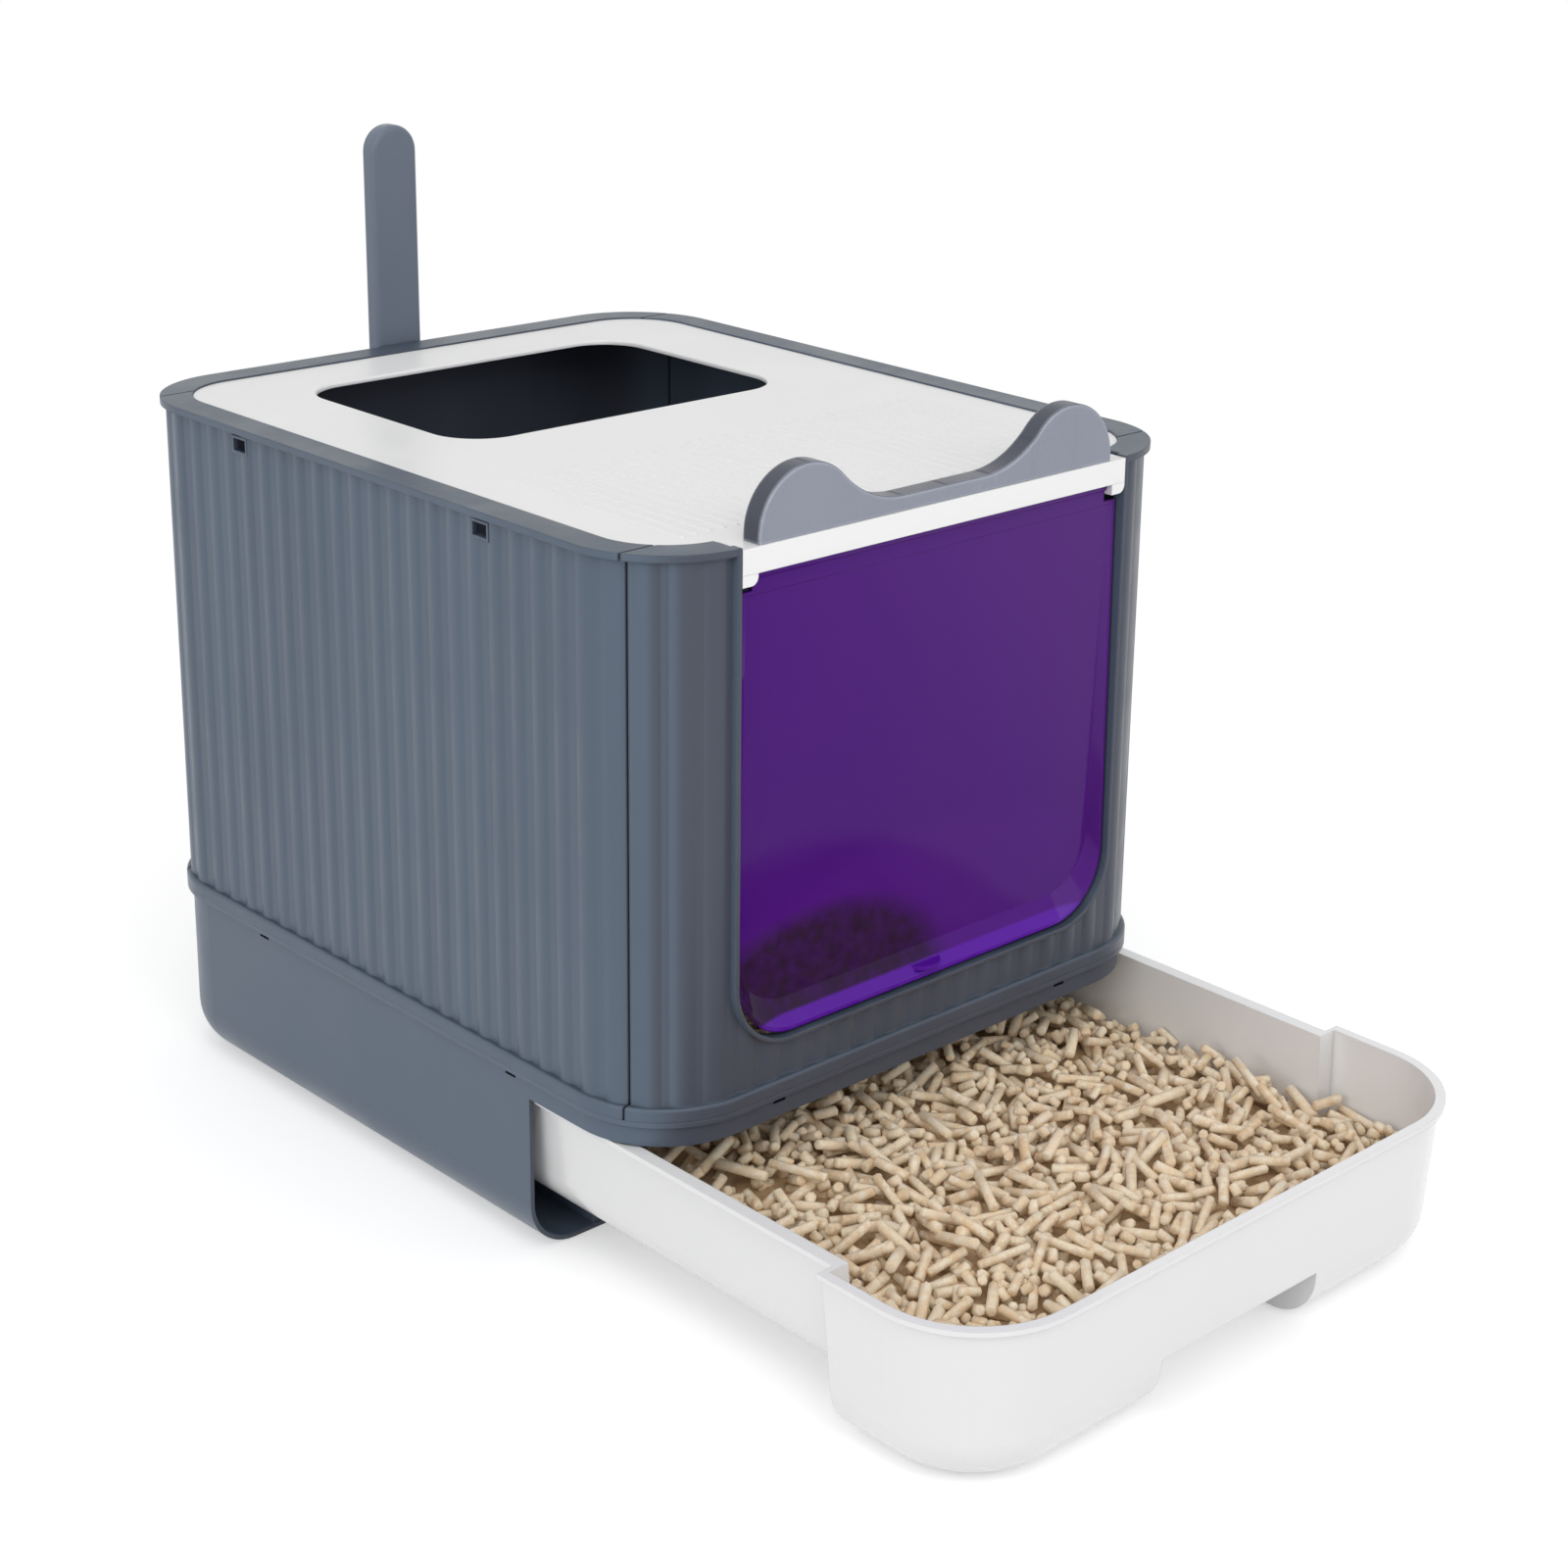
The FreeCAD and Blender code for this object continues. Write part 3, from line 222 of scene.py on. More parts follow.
# Height of a fine moulded grain over a soft orange-peel wave, and a slow smear for the roughness
def make_mould_grain():
    t, given, out = start_group(
        "mould_grain",
        [("Scale", "Float", 900.0), ("Orange", "Float", 90.0), ("Mix", "Float", 0.5)],
        [("Height", "Float", None), ("Rough", "Float", None)])
    place = t.add("TexCoord").outputs["Object"]
    fine = t.add("TexNoise", Vector=place, Scale=given.outputs["Scale"], Detail=2.0, Roughness=0.5)
    soft = t.add("TexNoise", Vector=place, Scale=given.outputs["Orange"], Detail=1.0, Roughness=0.4)
    soft_part = t.math("MULTIPLY", soft.outputs["Fac"], given.outputs["Mix"])
    fine_part = t.math("MULTIPLY", fine.outputs["Fac"], t.math("SUBTRACT", 1.0, given.outputs["Mix"]))
    t.link(t.math("ADD", soft_part, fine_part), out.inputs["Height"])
    smear = t.add("TexNoise", Vector=place, Scale=14.0, Detail=4.0, Roughness=0.65)
    t.link(t.span(smear.outputs["Fac"], 0.3, 0.7), out.inputs["Rough"])
    return t.tree


# Faint dust that lies where a surface faces up
def make_settled_dust():
    t, given, out = start_group(
        "settled_dust",
        [("Amount", "Float", 0.2), ("Scale", "Float", 40.0)],
        [("Mask", "Float", None)])
    facing = t.add("SeparateXYZ", Vector=t.add("NewGeometry").outputs["Normal"])
    up = t.span(facing.outputs["Z"], 0.55, 1.0)
    place = t.add("TexCoord").outputs["Object"]
    patchy = t.add("TexNoise", Vector=place, Scale=given.outputs["Scale"], Detail=5.0, Roughness=0.7)
    spread = t.span(patchy.outputs["Fac"], 0.45, 0.8)
    lying = t.math("MULTIPLY", up, spread)
    t.link(t.math("MULTIPLY", lying, given.outputs["Amount"]), out.inputs["Mask"])
    return t.tree


# Dark creases: gaps, grooves and slots that little light gets into
def make_crease_shade():
    t, given, out = start_group(
        "crease_shade",
        [("Depth", "Float", 0.006), ("Floor", "Float", 0.12)],
        [("Shade", "Float", None)])
    reach = t.add("AmbientOcclusion", {"samples": 6}, Distance=given.outputs["Depth"])
    shade = t.span(reach.outputs["AO"], 0.12, 0.55, given.outputs["Floor"], 1.0)
    t.link(shade, out.inputs["Shade"])
    return t.tree


# Painted upright bands of light and shade, as on ribbed sheet under a broad lamp
UPRIGHT_STRETCH = 0.03


def make_upright_bands():
    t, given, out = start_group(
        "upright_bands",
        [("Pitch", "Float", 30.0), ("Amount", "Float", 0.1)],
        [("Shade", "Float", None)])
    place = t.add("TexCoord").outputs["Object"]
    stretched = t.add("Mapping", Vector=place, Scale=(1.0, 1.0, UPRIGHT_STRETCH))
    streak = t.add("TexNoise", Vector=stretched.outputs[0], Scale=given.outputs["Pitch"], Detail=2.0,
                   Roughness=0.5)
    gain = gain_around_one(t, streak.outputs["Fac"], given.outputs["Amount"])
    t.link(gain, out.inputs["Shade"])
    return t.tree


tone_drift = make_tone_drift()
edge_rub_and_highlight = make_edge_rub()
mould_grain = make_mould_grain()
settled_dust = make_settled_dust()
crease_shade = make_crease_shade()
upright_bands = make_upright_bands()


def start_material(name):
    """A new material with its tree and a Principled shader linked to the output."""
    material = bpy.data.materials.new(name)
    material.use_nodes = True
    material.node_tree.nodes.clear()
    t = Tree(material.node_tree)
    out = t.add("OutputMaterial")
    shader = t.add("BsdfPrincipled")
    t.link(shader.outputs[0], out.inputs["Surface"])
    return material, t, shader


DUST_COLOR = (0.62, 0.60, 0.57, 1)
COAT_ROUGHNESS = 0.12


def moulded_plastic(name, color, rough, edge_wear_and_highlight_color, grain=0.02 * mm, drift=0.05, edge=0.8 * mm, dust=0.04,
                    coat=0.0, specular=0.5, edge_break=0.35, crease=0.12, bands=0.0, front_painted_light=None,
                    top_painted_light=None, steps=None):
    """A moulded plastic: drifting tone, edges lighter for worn plastic and for a painted highlight, grain,
    painted shade in creases, painted light and shade as own tones for front and top faces.
    """
    material, t, shader = start_material(name)
    edge_group = t.group(edge_rub_and_highlight, Radius=edge, Break=edge_break)
    grains = t.group(mould_grain)
    dusty = t.group(settled_dust, Amount=dust)
    base = t.group(tone_drift, Color=(*color, 1), Amount=drift).outputs["Color"]
    facing = t.add("SeparateXYZ", Vector=t.add("NewGeometry").outputs["Normal"])
    # Faces turned up and faces turned to the front take their own tones: painted light and shade.
    if top_painted_light is not None:
        base = t.blend(t.span(facing.outputs["Z"], 0.6, 0.9), base, (*top_painted_light, 1))
    if front_painted_light is not None:
        base = t.blend(t.span(facing.outputs["Y"], -0.9, -0.6, 1.0, 0.0), base, (*front_painted_light, 1))
    # Edges take their own tone: worn plastic on most pieces, and a bright painted highlight bead on the
    # crest.
    base = t.blend(edge_group.outputs["Edge"], base, (*edge_wear_and_highlight_color, 1))
    base = t.blend(dusty.outputs["Mask"], base, DUST_COLOR)
    shade = t.group(crease_shade, Floor=crease).outputs["Shade"]
    # Painted upright bands of light and shade.
    if bands:
        shade = t.math("MULTIPLY", shade, t.group(upright_bands, Amount=bands).outputs["Shade"])
    t.feed(shader, "Base Color", t.scale(base, shade))
    t.feed(shader, "Roughness", t.span(grains.outputs["Rough"], 0.0, 1.0, rough - 0.04, rough + 0.05))
    t.feed(shader, "Specular IOR Level", specular)
    t.feed(shader, "Coat Weight", coat)
    t.feed(shader, "Coat Roughness", COAT_ROUGHNESS)
    normal = edge_group.outputs["Normal"]
    if steps is not None:
        normal = t.add("Bump", Strength=1.0, Distance=1.0, Height=steps(t), Normal=normal).outputs[0]
    bump = t.add("Bump", Strength=1.0, Distance=grain, Height=grains.outputs["Height"], Normal=normal)
    t.feed(shader, "Normal", bump.outputs[0])
    return material


# Shallow steps that run down the crest's face at an even pitch
STEP_PITCH = 33.3 * mm
STEP_HEIGHT = 0.6 * mm
STEP_SLOPE = 0.10  # share of the pitch that the step takes to rise


def crest_steps(t):
    """Height of the steps in metres, for a bump."""
    place = t.add("SeparateXYZ", Vector=t.add("TexCoord").outputs["Object"])
    saw = t.math("FRACT", t.math("MULTIPLY", place.outputs["X"], 1 / STEP_PITCH))
    return t.math("MULTIPLY", t.span(saw, 0.0, STEP_SLOPE), STEP_HEIGHT)


# Finishes of the moulded pieces: tone, roughness and the tone of an edge (worn plastic, and on the crest a
# painted highlight), then what sets each apart; the tones for front and top faces are painted light and shade
SLATE = (0.093, 0.124, 0.170)
SLATE_EDGE = (0.160, 0.195, 0.250)
# Painted shade: darker tones for the slate pieces' front and top faces.
SLATE_FRONT_SHADE = (0.070, 0.081, 0.111)
SLATE_TOP_SHADE = (0.058, 0.080, 0.108)
slate_panel = moulded_plastic(
    "slate_panel", SLATE, 0.36, (0.106, 0.138, 0.186), drift=0.06, edge=1.6 * mm, specular=0.3,
    edge_break=0.5, bands=0.12, front_painted_light=SLATE_FRONT_SHADE, top_painted_light=SLATE_TOP_SHADE)
slate_base = moulded_plastic(
    "slate_base", (0.098, 0.130, 0.180), 0.33, SLATE_EDGE, drift=0.05, specular=0.3, front_painted_light=SLATE_FRONT_SHADE)
# The crest's front face and its other faces take a lit and a shaded tone of one grey, and its edges a bright
# tone: painted light, shade and highlight.
slate_crest = moulded_plastic(
    "slate_crest", (0.056, 0.061, 0.086), 0.30, (0.80, 0.86, 0.95), edge=2.8 * mm, grain=0.006 * mm,
    dust=0.0, drift=0.02, edge_break=0.0, specular=0.35, bands=0.05, front_painted_light=(0.285, 0.305, 0.375),
    steps=crest_steps)
slate_scoop = moulded_plastic("slate_scoop", (0.140, 0.168, 0.222), 0.35, SLATE_EDGE, specular=0.35)
# The cover's front faces take a lighter tone: painted light.
white_cover = moulded_plastic(
    "white_cover", (0.785, 0.785, 0.785), 0.38, (0.86, 0.86, 0.86), drift=0.015, dust=0.02, crease=0.55,
    front_painted_light=(0.95, 0.95, 0.96))
white_drawer = moulded_plastic(
    "white_drawer", (0.84, 0.84, 0.84), 0.22, (0.90, 0.90, 0.90), drift=0.01, dust=0.01, coat=0.4, crease=0.6)


# Violet flap: its tones, painted light and shade among them, and where on the door they lie, as X and Z at
# rest
VIOLET = (0.094, 0.0070, 0.262, 1)
VIOLET_PAINTED_SHEEN = (0.140, 0.042, 0.280, 1)
VIOLET_BOW = (0.135, 0.018, 0.330, 1)
VIOLET_SEEN_SHADE = (0.036, 0.012, 0.045, 1)
VIOLET_LIP = (0.150, 0.010, 0.540, 1)
BOW_MIDDLE = (0.0, 0.15)
BOW_REACH = (0.18, 0.085)
SEEN_SHADE_MIDDLE = (-0.080, 0.152)
SEEN_SHADE_REACH = (0.098, 0.056)
LIP_FADE = (0.1525, 0.1545)
CLEAR_PLASTIC_IOR = 1.49


def soft_spot(t, place, middle, reach):
    """A mask that is 1 in the middle of an upright ellipse on the door and fades out at its edge."""
    across = t.math("DIVIDE", t.math("SUBTRACT", place.outputs["X"], middle[0]), reach[0])
    up = t.math("DIVIDE", t.math("SUBTRACT", place.outputs["Z"], middle[1]), reach[1])
    away = t.math("ADD", t.math("MULTIPLY", across, across), t.math("MULTIPLY", up, up))
    return t.span(away, 0.6, 1.15, 1.0, 0.0)


def violet_sheet():
    """Clear violet plastic with painted light: a paler bow across its lower half and a dark patch in the
    corner, both standing for the box's inside seen through the sheet, a lighter painted reflection to the
    upper right, a bright painted lip.
    """
    material, t, shader = start_material("violet_sheet")
    base = t.group(tone_drift, Color=VIOLET, Amount=0.05, Patch=5.0).outputs["Color"]
    on_door = t.add("TexCoord").outputs["Object"]
    place = t.add("SeparateXYZ", Vector=on_door)
    # Painted reflection: lighter towards the upper right.
    painted_sheen = t.span(t.math("ADD", place.outputs["X"], place.outputs["Z"]), 0.20, 0.56)
    base = t.blend(t.math("MULTIPLY", painted_sheen, 0.75), base, VIOLET_PAINTED_SHEEN)
    # Painted light: a paler bow across the lower half, standing for the box's inside seen through the sheet.
    bow = soft_spot(t, place, BOW_MIDDLE, BOW_REACH)
    base = t.blend(t.math("MULTIPLY", bow, 0.3), base, VIOLET_BOW)
    # Painted shade: a dark mottled patch in the lower left corner, standing for the box's dark inside seen
    # through the sheet.
    mottle = t.add("TexNoise", Vector=on_door, Scale=110.0, Detail=3.0)
    patchy = t.span(mottle.outputs["Fac"], 0.35, 0.65, 0.72, 0.95)
    seen_shade = t.math("MULTIPLY", soft_spot(t, place, SEEN_SHADE_MIDDLE, SEEN_SHADE_REACH), patchy)
    base = t.blend(seen_shade, base, VIOLET_SEEN_SHADE)
    # Painted highlight: a bright violet band along the lower lip.
    lip = t.span(place.outputs["Z"], *LIP_FADE, 1.0, 0.0)
    base = t.blend(t.math("MULTIPLY", lip, 0.8), base, VIOLET_LIP)
    t.feed(shader, "Base Color", base)
    grains = t.group(mould_grain, Scale=500.0, Orange=25.0, Mix=0.8)
    t.feed(shader, "Roughness", t.span(grains.outputs["Rough"], 0.0, 1.0, 0.05, 0.12))
    t.feed(shader, "IOR", CLEAR_PLASTIC_IOR)
    t.feed(shader, "Transmission Weight", 0.25)
    t.feed(shader, "Specular IOR Level", 0.0)
    t.feed(shader, "Coat Weight", t.math("MULTIPLY", lip, 0.15))
    edge_group = t.group(edge_rub_and_highlight, Radius=0.8 * mm, Break=0.3)
    bump = t.add("Bump", Strength=1.0, Distance=0.03 * mm, Height=grains.outputs["Height"],
                 Normal=edge_group.outputs["Normal"])
    t.feed(shader, "Normal", bump.outputs[0])
    return material


violet = violet_sheet()

finish_of = {
    "base_tray": slate_base,
    "left_panel": slate_panel,
    "right_panel": slate_panel,
    "front_panel": slate_panel,
    "rear_panel": slate_panel,
    "scoop_rack": slate_base,
    "drawer_tray": white_drawer,
    "top_cover": white_cover,
    "ear_crest": slate_crest,
    "hinge_clip_left": white_cover,
    "hinge_clip_right": white_cover,
    "door_flap": violet,
    "scoop": slate_scoop,
}
for node_name, finish in finish_of.items():
    for slot in nodes[node_name].material_slots:
        slot.material = finish


# Litter: pressed straw pellets, dropped one by one on a grid of heights

FACING_UP = 0.5
SAME_POINT = 0.01 * mm


def upper_surface(node):
    """The closed outline of all that faces up on a node, its edge's height, and a tree of its faces."""
    mesh = bmesh.new()
    mesh.from_mesh(node.data)
    bmesh.ops.remove_doubles(mesh, verts=mesh.verts, dist=SAME_POINT)
    mesh.normal_update()
    upper = {f for f in mesh.faces if f.normal.z > FACING_UP}
    rim = {}
    for face in upper:
        for edge in face.edges:
            if sum(other in upper for other in edge.link_faces) == 1:
                for one, two in (edge.verts, reversed(edge.verts)):
                    rim.setdefault(one.index, []).append(two.index)
    mesh.verts.ensure_lookup_table()
    start = next(iter(rim))
    ring = [start]
    before = None
    while True:
        onward = [i for i in rim[ring[-1]] if i != before][0]
        before = ring[-1]
        if onward == start:
            break
        ring.append(onward)
    outline = np.array([mesh.verts[i].co[:2] for i in ring])
    edge_level = mesh.verts[start].co.z
    tree = BVHTree.FromBMesh(mesh)
    mesh.free()
    return outline, edge_level, tree


def distance_inside(points, ring):
    """How far each point lies inside a closed ring; negative outside it."""
    ends = np.roll(ring, -1, axis=0)
    nearest = np.full(len(points), 1e9)
    crossings = np.zeros(len(points), int)
    for a, b in zip(ring, ends):
        along = b - a
        share = np.clip(((points - a) @ along) / max(along @ along, 1e-12), 0, 1)
        nearest = np.minimum(nearest, np.linalg.norm(points - a - share[:, None] * along, axis=1))
        spans = (a[1] > points[:, 1]) != (b[1] > points[:, 1])
        with np.errstate(divide="ignore", invalid="ignore"):
            meets = a[0] + (points[:, 1] - a[1]) * (b[0] - a[0]) / (b[1] - a[1])
        crossings += spans & (points[:, 0] < meets)
    return np.where(crossings % 2 == 1, nearest, -nearest)


CELL = 1.5 * mm  # of the grid of heights
GRID_MARGIN = 4  # cells around the outline
FILL_DEPTH = 7 * mm  # of the loose layer
LEVEL_DROP = 1.5 * mm  # how far the loose layer's own level lies below the plain heap
WAVE_HEIGHT = 1.2 * mm
DOWN = Vector((0, 0, -1))
litter_ring, litter_edge, litter_tree = upper_surface(nodes["litter_bed"])
low_corner = litter_ring.min(0) - GRID_MARGIN * CELL
cells = np.ceil((litter_ring.max(0) + GRID_MARGIN * CELL - low_corner) / CELL).astype(int)
cell_middles = [low_corner[i] + CELL * (np.arange(cells[i]) + 0.5) for i in (0, 1)]
grid_x, grid_y = np.meshgrid(*cell_middles, indexing="ij")
grid_places = np.stack([grid_x.ravel(), grid_y.ravel()], 1)
inside_by = distance_inside(grid_places, litter_ring).reshape(grid_x.shape)


def solid_height(x, y):
    """The height of the plain heap's surface at one place."""
    hit = litter_tree.ray_cast(Vector((x, y, 1)), DOWN)[0]
    return litter_edge if hit is None else hit.z


def heap_level():
    """The heap's surface on the grid: the plain solid's, a little lower and with slow waves."""
    plain = np.array([solid_height(x, y) for x, y in grid_places])
    waves = WAVE_HEIGHT * np.sin(grid_x * 41 + 1.1) * np.cos(grid_y * 37 - 0.4)
    return plain.reshape(grid_x.shape) - LEVEL_DROP + waves


level = heap_level()
heights = level - FILL_DEPTH
draw = random.Random(7)

PELLET_TRIES = 110000
PELLET_SIDES = 7
PELLET_RINGS = 4
WHOLE_SHARE = 0.7  # of the pellets that are whole; the others are crumbs
WHOLE_LENGTHS = (10, 38, 18)  # least, most and commonest, in mm
CRUMB_LENGTHS = (4.5, 10)
PELLET_RADII = (2.5, 3.3)
END_WEAR = 0.72  # radius of a worn end as a share of the pellet's
END_LENGTH = 0.22  # length of the worn end as a share of the radius
WALL_GAP = 0.6 * mm  # least room between a pellet's axis and the drawer's wall, with the next value
WALL_RADII = 0.6
SUPPORT_PITCH = 2.5 * mm  # of the points along a pellet that look for support
FLANKS = (-0.75, 0.75)  # where its sides look for support, in radii
STACKING = 0.7  # how far above the level a pellet may lie, in radii
STEEPEST = 0.75
SINKING = 0.25  # how far a pellet sinks in among the others, in radii


def pellet_rings(length, radius):
    """Distance along the axis and radius of each ring of a pellet with worn ends."""
    half = length / 2
    worn = radius * END_LENGTH
    end = radius * END_WEAR
    return [(-half, end), (-half + worn, radius), (half - worn, radius), (half, end)]


def cell_of(place):
    """The grid's cell at a place, or the cells at many places."""
    return ((place - low_corner) / CELL).astype(int)


def resting_height(line, across, radius):
    """The height that a lying pellet's axis would have at each point of a line, if it rested there alone."""
    index = cell_of(line)
    support = heights[index[:, 0], index[:, 1]] + radius
    for offset in FLANKS:
        side = cell_of(line + across * radius * offset)
        lift = radius * (1 - math.sqrt(1 - offset ** 2))
        support = np.maximum(support, heights[side[:, 0], side[:, 1]] + radius - lift)
    return support


def raise_heights(x, y, way, across, length, radius, sunk, slope):
    """Adds a pellet's upper side to the grid of heights, for the pellets that fall on it later."""
    reach = int((length / 2 + radius) / CELL) + 2
    centre = cell_of(np.array([x, y]))
    low = np.maximum(centre - reach, 0)
    high = np.minimum(centre + reach, cells)
    local_x = grid_x[low[0]:high[0], low[1]:high[1]] - x
    local_y = grid_y[low[0]:high[0], low[1]:high[1]] - y
    along = local_x * way[0] + local_y * way[1]
    beside = np.abs(local_x * across[0] + local_y * across[1])
    covered = (np.abs(along) <= length / 2) & (beside < radius)
    skin = sunk + slope * along + np.sqrt(np.maximum(radius ** 2 - beside ** 2, 0))
    patch = heights[low[0]:high[0], low[1]:high[1]]
    patch[covered] = np.maximum(patch[covered], skin[covered])


def drop_pellet():
    """Lets one pellet fall and gives its middle, axis, length and radius, or None where it finds no room."""
    x = draw.uniform(litter_ring[:, 0].min(), litter_ring[:, 0].max())
    y = draw.uniform(litter_ring[:, 1].min(), litter_ring[:, 1].max())
    turn = draw.uniform(0, math.pi)
    whole = draw.random() < WHOLE_SHARE
    length = (draw.triangular(*WHOLE_LENGTHS) if whole else draw.uniform(*CRUMB_LENGTHS)) * mm
    radius = draw.uniform(*PELLET_RADII) * mm
    way = np.array([math.cos(turn), math.sin(turn)])
    across = np.array([-way[1], way[0]])
    steps = np.linspace(-length / 2, length / 2, max(5, int(length / SUPPORT_PITCH)))
    line = np.array([x, y]) + steps[:, None] * way
    index = cell_of(line)
    if (index < 0).any() or (index >= cells).any():
        return None
    if inside_by[index[:, 0], index[:, 1]].min() < radius * WALL_RADII + WALL_GAP:
        return None
    support = resting_height(line, across, radius)
    if support.mean() > level[index[:, 0], index[:, 1]].mean() + radius * STACKING:
        return None
    lean = np.polyfit(steps, support, 1)[0] + draw.uniform(-0.10, 0.10)
    slope = float(np.clip(lean, -STEEPEST, STEEPEST))
    sunk = float((support - slope * steps).max()) - SINKING * radius
    raise_heights(x, y, way, across, length, radius, sunk, slope)
    axis = Vector((way[0], way[1], slope)).normalized()
    return Vector((x, y, sunk)), axis, length, radius


def pellet_points(centre, axis, length, radius):
    """The corners of one slightly bent, uneven pellet, ring by ring."""
    side = axis.cross(Vector((0, 0, 1))).normalized()
    rise = side.cross(axis)
    bend = draw.uniform(-0.6, 0.6) * mm
    points = []
    for along, ring_radius in pellet_rings(length, radius):
        for k in range(PELLET_SIDES):
            angle = 2 * math.pi * k / PELLET_SIDES
            rough = ring_radius * (1 + draw.uniform(-0.05, 0.05))
            points.append(centre + axis * (along + draw.uniform(-0.25, 0.25) * mm)
                          + side * (math.cos(angle) * rough + bend * (along / length) ** 2 * 4)
                          + rise * math.sin(angle) * rough)
    return points


def pellet_faces(first):
    """The sides and both ends of one pellet whose points start at the given number."""
    faces = []
    for ring in range(PELLET_RINGS - 1):
        for k in range(PELLET_SIDES):
            a = first + ring * PELLET_SIDES + k
            b = first + ring * PELLET_SIDES + (k + 1) % PELLET_SIDES
            faces.append((a, b, b + PELLET_SIDES, a + PELLET_SIDES))
    far_end = first + (PELLET_RINGS - 1) * PELLET_SIDES
    faces.append(tuple(first + PELLET_SIDES - 1 - k for k in range(PELLET_SIDES)))
    faces.append(tuple(far_end + k for k in range(PELLET_SIDES)))
    return faces


def litter_mesh():
    """All loose pellets in one mesh, with a tone of its own for each."""
    points = []
    faces = []
    tones = []
    for attempt in range(PELLET_TRIES):
        dropped = drop_pellet()
        if dropped is None:
            continue
        faces += pellet_faces(len(points))
        points += pellet_points(*dropped)
        tones += [draw.random()] * (PELLET_RINGS * PELLET_SIDES)
    mesh = bpy.data.meshes.new("litter_pellets")
    mesh.from_pydata(points, [], faces)
    mesh.attributes.new("tone", "FLOAT", "POINT").data.foreach_set("value", np.array(tones, np.float32))
    mesh.shade_smooth()
    mesh.update()
    return mesh


FIBRE_COLOR = (0.46, 0.31, 0.17, 1)
FIBRE_HEIGHT = 0.5 * mm


def straw_material(name, dark, light, cream):
    """Pressed straw: each pellet its own tone between two, with cream patches and darker fibres."""
    material, t, shader = start_material(name)
    tone = t.add("Attribute", {"attribute_name": "tone"}).outputs["Fac"]
    place = t.add("TexCoord").outputs["Object"]
    fibre = t.add("TexNoise", Vector=place, Scale=900.0, Detail=4.0, Roughness=0.7)
    patch = t.add("TexNoise", Vector=place, Scale=180.0, Detail=3.0, Roughness=0.6)
    base = t.blend(tone, (*dark, 1), (*light, 1))
    base = t.blend(t.span(patch.outputs["Fac"], 0.35, 0.7), base, (*cream, 1))
    fibres = t.math("MULTIPLY", t.span(fibre.outputs["Fac"], 0.45, 0.75), 0.25)
    base = t.blend(fibres, base, FIBRE_COLOR)
    t.feed(shader, "Base Color", base)
    t.feed(shader, "Roughness", t.span(fibre.outputs["Fac"], 0.2, 0.8, 0.55, 0.85))
    t.feed(shader, "Specular IOR Level", 0.3)
    bump = t.add("Bump", Strength=1.0, Distance=FIBRE_HEIGHT, Height=fibre.outputs["Fac"])
    t.feed(shader, "Normal", bump.outputs[0])
    return material


PACKED_SHRINK = 0.994
PACKED_DROP = 0.8 * FILL_DEPTH


def packed_mesh():
    """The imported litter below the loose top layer: the plain solid, lowered and shrunk a little."""
    mesh = bmesh.new()
    mesh.from_mesh(nodes["litter_bed"].data)
    middle = Vector((*litter_ring.mean(0), 0))
    for vert in mesh.verts:
        vert.co = middle + (vert.co - middle) * PACKED_SHRINK
        if vert.co.z > litter_edge - FILL_DEPTH:
            vert.co.z -= PACKED_DROP
    data = bpy.data.meshes.new("litter_packed")
    mesh.to_mesh(data)
    mesh.free()
    return data


loose_straw = straw_material("loose_straw", (0.80, 0.59, 0.37), (0.95, 0.77, 0.54), (0.97, 0.87, 0.69))
# The layer under the loose pellets takes darker tones: painted shade for the gaps between the pellets.
gap_shade_straw = straw_material("gap_shade_straw", (0.46, 0.31, 0.17), (0.55, 0.38, 0.22), (0.62, 0.45, 0.28))
for piece_name, mesh, straw in (("litter_pellets", litter_mesh(), loose_straw),
                                ("litter_packed", packed_mesh(), gap_shade_straw)):
    piece = bpy.data.objects.new(piece_name, mesh)
    bpy.context.scene.collection.objects.link(piece)
    mesh.materials.clear()
    mesh.materials.append(straw)
    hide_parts("litter_bed")
    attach(piece, "drawer")


# Studio: pale floor, white surround, soft lamps

FLOOR_HALF = 12.0
FLOOR_GAP = 0.5 * mm  # between the floor and the box's underside
FLOOR_COLOR = (0.80, 0.80, 0.80, 1)
WHITE = (1, 1, 1, 1)
FLOOR_GLOW = 0.42
SHADOW_ENDS = (0.7, 1.4)  # distance from the box over which the floor turns into the white backdrop
SURROUND_LIGHT = 0.60  # on the object; the surround itself is seen as plain white


def seen_directly(t):
    """1 for what the camera sees, also mirrored or through clear plastic, and 0 for light that falls."""
    seen = t.add("LightPath")
    by_way = t.math("MAXIMUM", seen.outputs["Is Glossy Ray"], seen.outputs["Is Transmission Ray"])
    return t.math("MAXIMUM", seen.outputs["Is Camera Ray"], by_way)


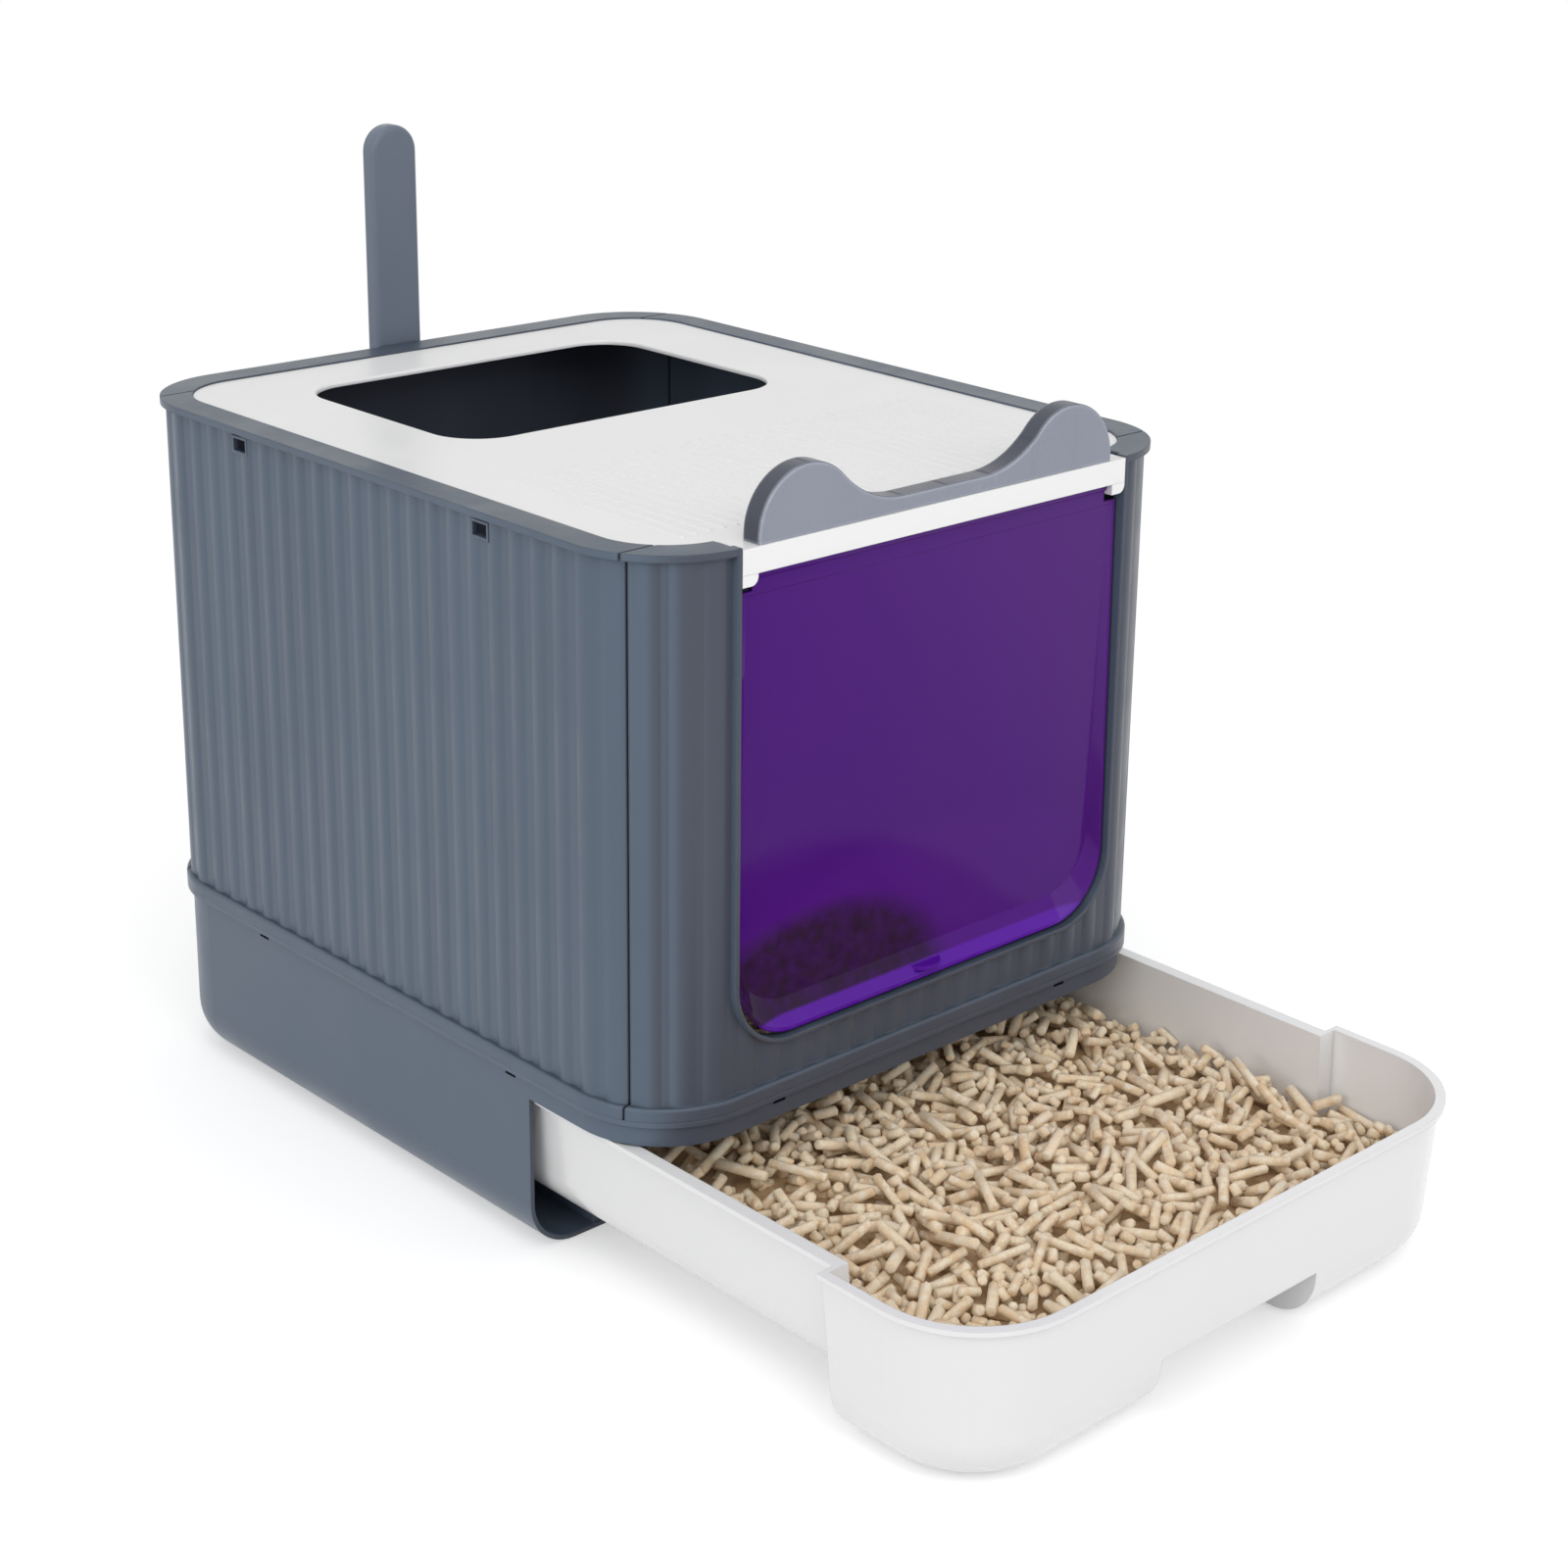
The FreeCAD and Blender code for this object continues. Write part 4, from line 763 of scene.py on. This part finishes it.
def floor_material():
    """Pale floor that keeps the box's soft shadow and turns white farther off."""
    material = bpy.data.materials.new("pale_floor")
    material.use_nodes = True
    t = Tree(material.node_tree)
    t.tree.nodes.clear()
    out = t.add("OutputMaterial")
    direct = seen_directly(t)
    matt = t.add("BsdfDiffuse", Color=FLOOR_COLOR)
    glow = t.add("Emission", Color=WHITE, Strength=t.math("MULTIPLY", direct, FLOOR_GLOW))
    near = t.add("AddShader")
    t.link(matt.outputs[0], near.inputs[0])
    t.link(glow.outputs[0], near.inputs[1])
    away = t.add("VectorMath", {"operation": "LENGTH"})
    t.feed(away, "0", t.add("NewGeometry").outputs["Position"])
    far = t.add("Emission", Color=WHITE, Strength=1.0)
    faded = t.math("MULTIPLY", t.span(away.outputs["Value"], *SHADOW_ENDS), direct)
    backdrop = t.add("MixShader", Fac=faded)
    t.link(near.outputs[0], backdrop.inputs[1])
    t.link(far.outputs[0], backdrop.inputs[2])
    t.link(backdrop.outputs[0], out.inputs["Surface"])
    return material


def make_floor():
    data = bpy.data.meshes.new("studio_floor")
    corners = [(x * FLOOR_HALF, y * FLOOR_HALF, 0) for x, y in ((-1, -1), (1, -1), (1, 1), (-1, 1))]
    data.from_pydata(corners, [], [(0, 1, 2, 3)])
    data.materials.append(floor_material())
    floor = bpy.data.objects.new("studio_floor", data)
    floor.location.z = -FLOOR_GAP
    bpy.context.scene.collection.objects.link(floor)


def make_world():
    world = bpy.data.worlds.new("studio_surround")
    world.use_nodes = True
    t = Tree(world.node_tree)
    t.tree.nodes.clear()
    out = t.add("OutputWorld")
    strength = t.span(seen_directly(t), 0.0, 1.0, SURROUND_LIGHT, 1.0)
    surround = t.add("Background", Color=WHITE, Strength=strength)
    t.link(surround.outputs[0], out.inputs["Surface"])
    bpy.context.scene.world = world


def soft_lamp(name, place, aim, side, power):
    """A square softbox of the given side at a place, turned to what it lights, with its power in watts."""
    data = bpy.data.lights.new(name, "AREA")
    data.shape = "SQUARE"
    data.size = side
    data.energy = power
    lamp = bpy.data.objects.new(name, data)
    lamp.location = place
    lamp.rotation_euler = (Vector(aim) - Vector(place)).to_track_quat("-Z", "Y").to_euler()
    bpy.context.scene.collection.objects.link(lamp)


make_floor()
make_world()
soft_lamp("overhead_softbox", (-0.3, -0.2, 2.4), (0, -0.1, 0.2), 2.2, 10)
soft_lamp("left_softbox", (-2.3, -0.4, 1.0), (0, -0.1, 0.2), 1.6, 12)
soft_lamp("front_softbox", (0.9, -2.6, 1.0), (0, -0.2, 0.2), 1.6, 10)
soft_lamp("upper_front_softbox", (-1.0, -1.9, 2.0), (0, -0.4, 0.1), 1.4, 11.5)

bpy.context.scene.view_settings.view_transform = "Standard"
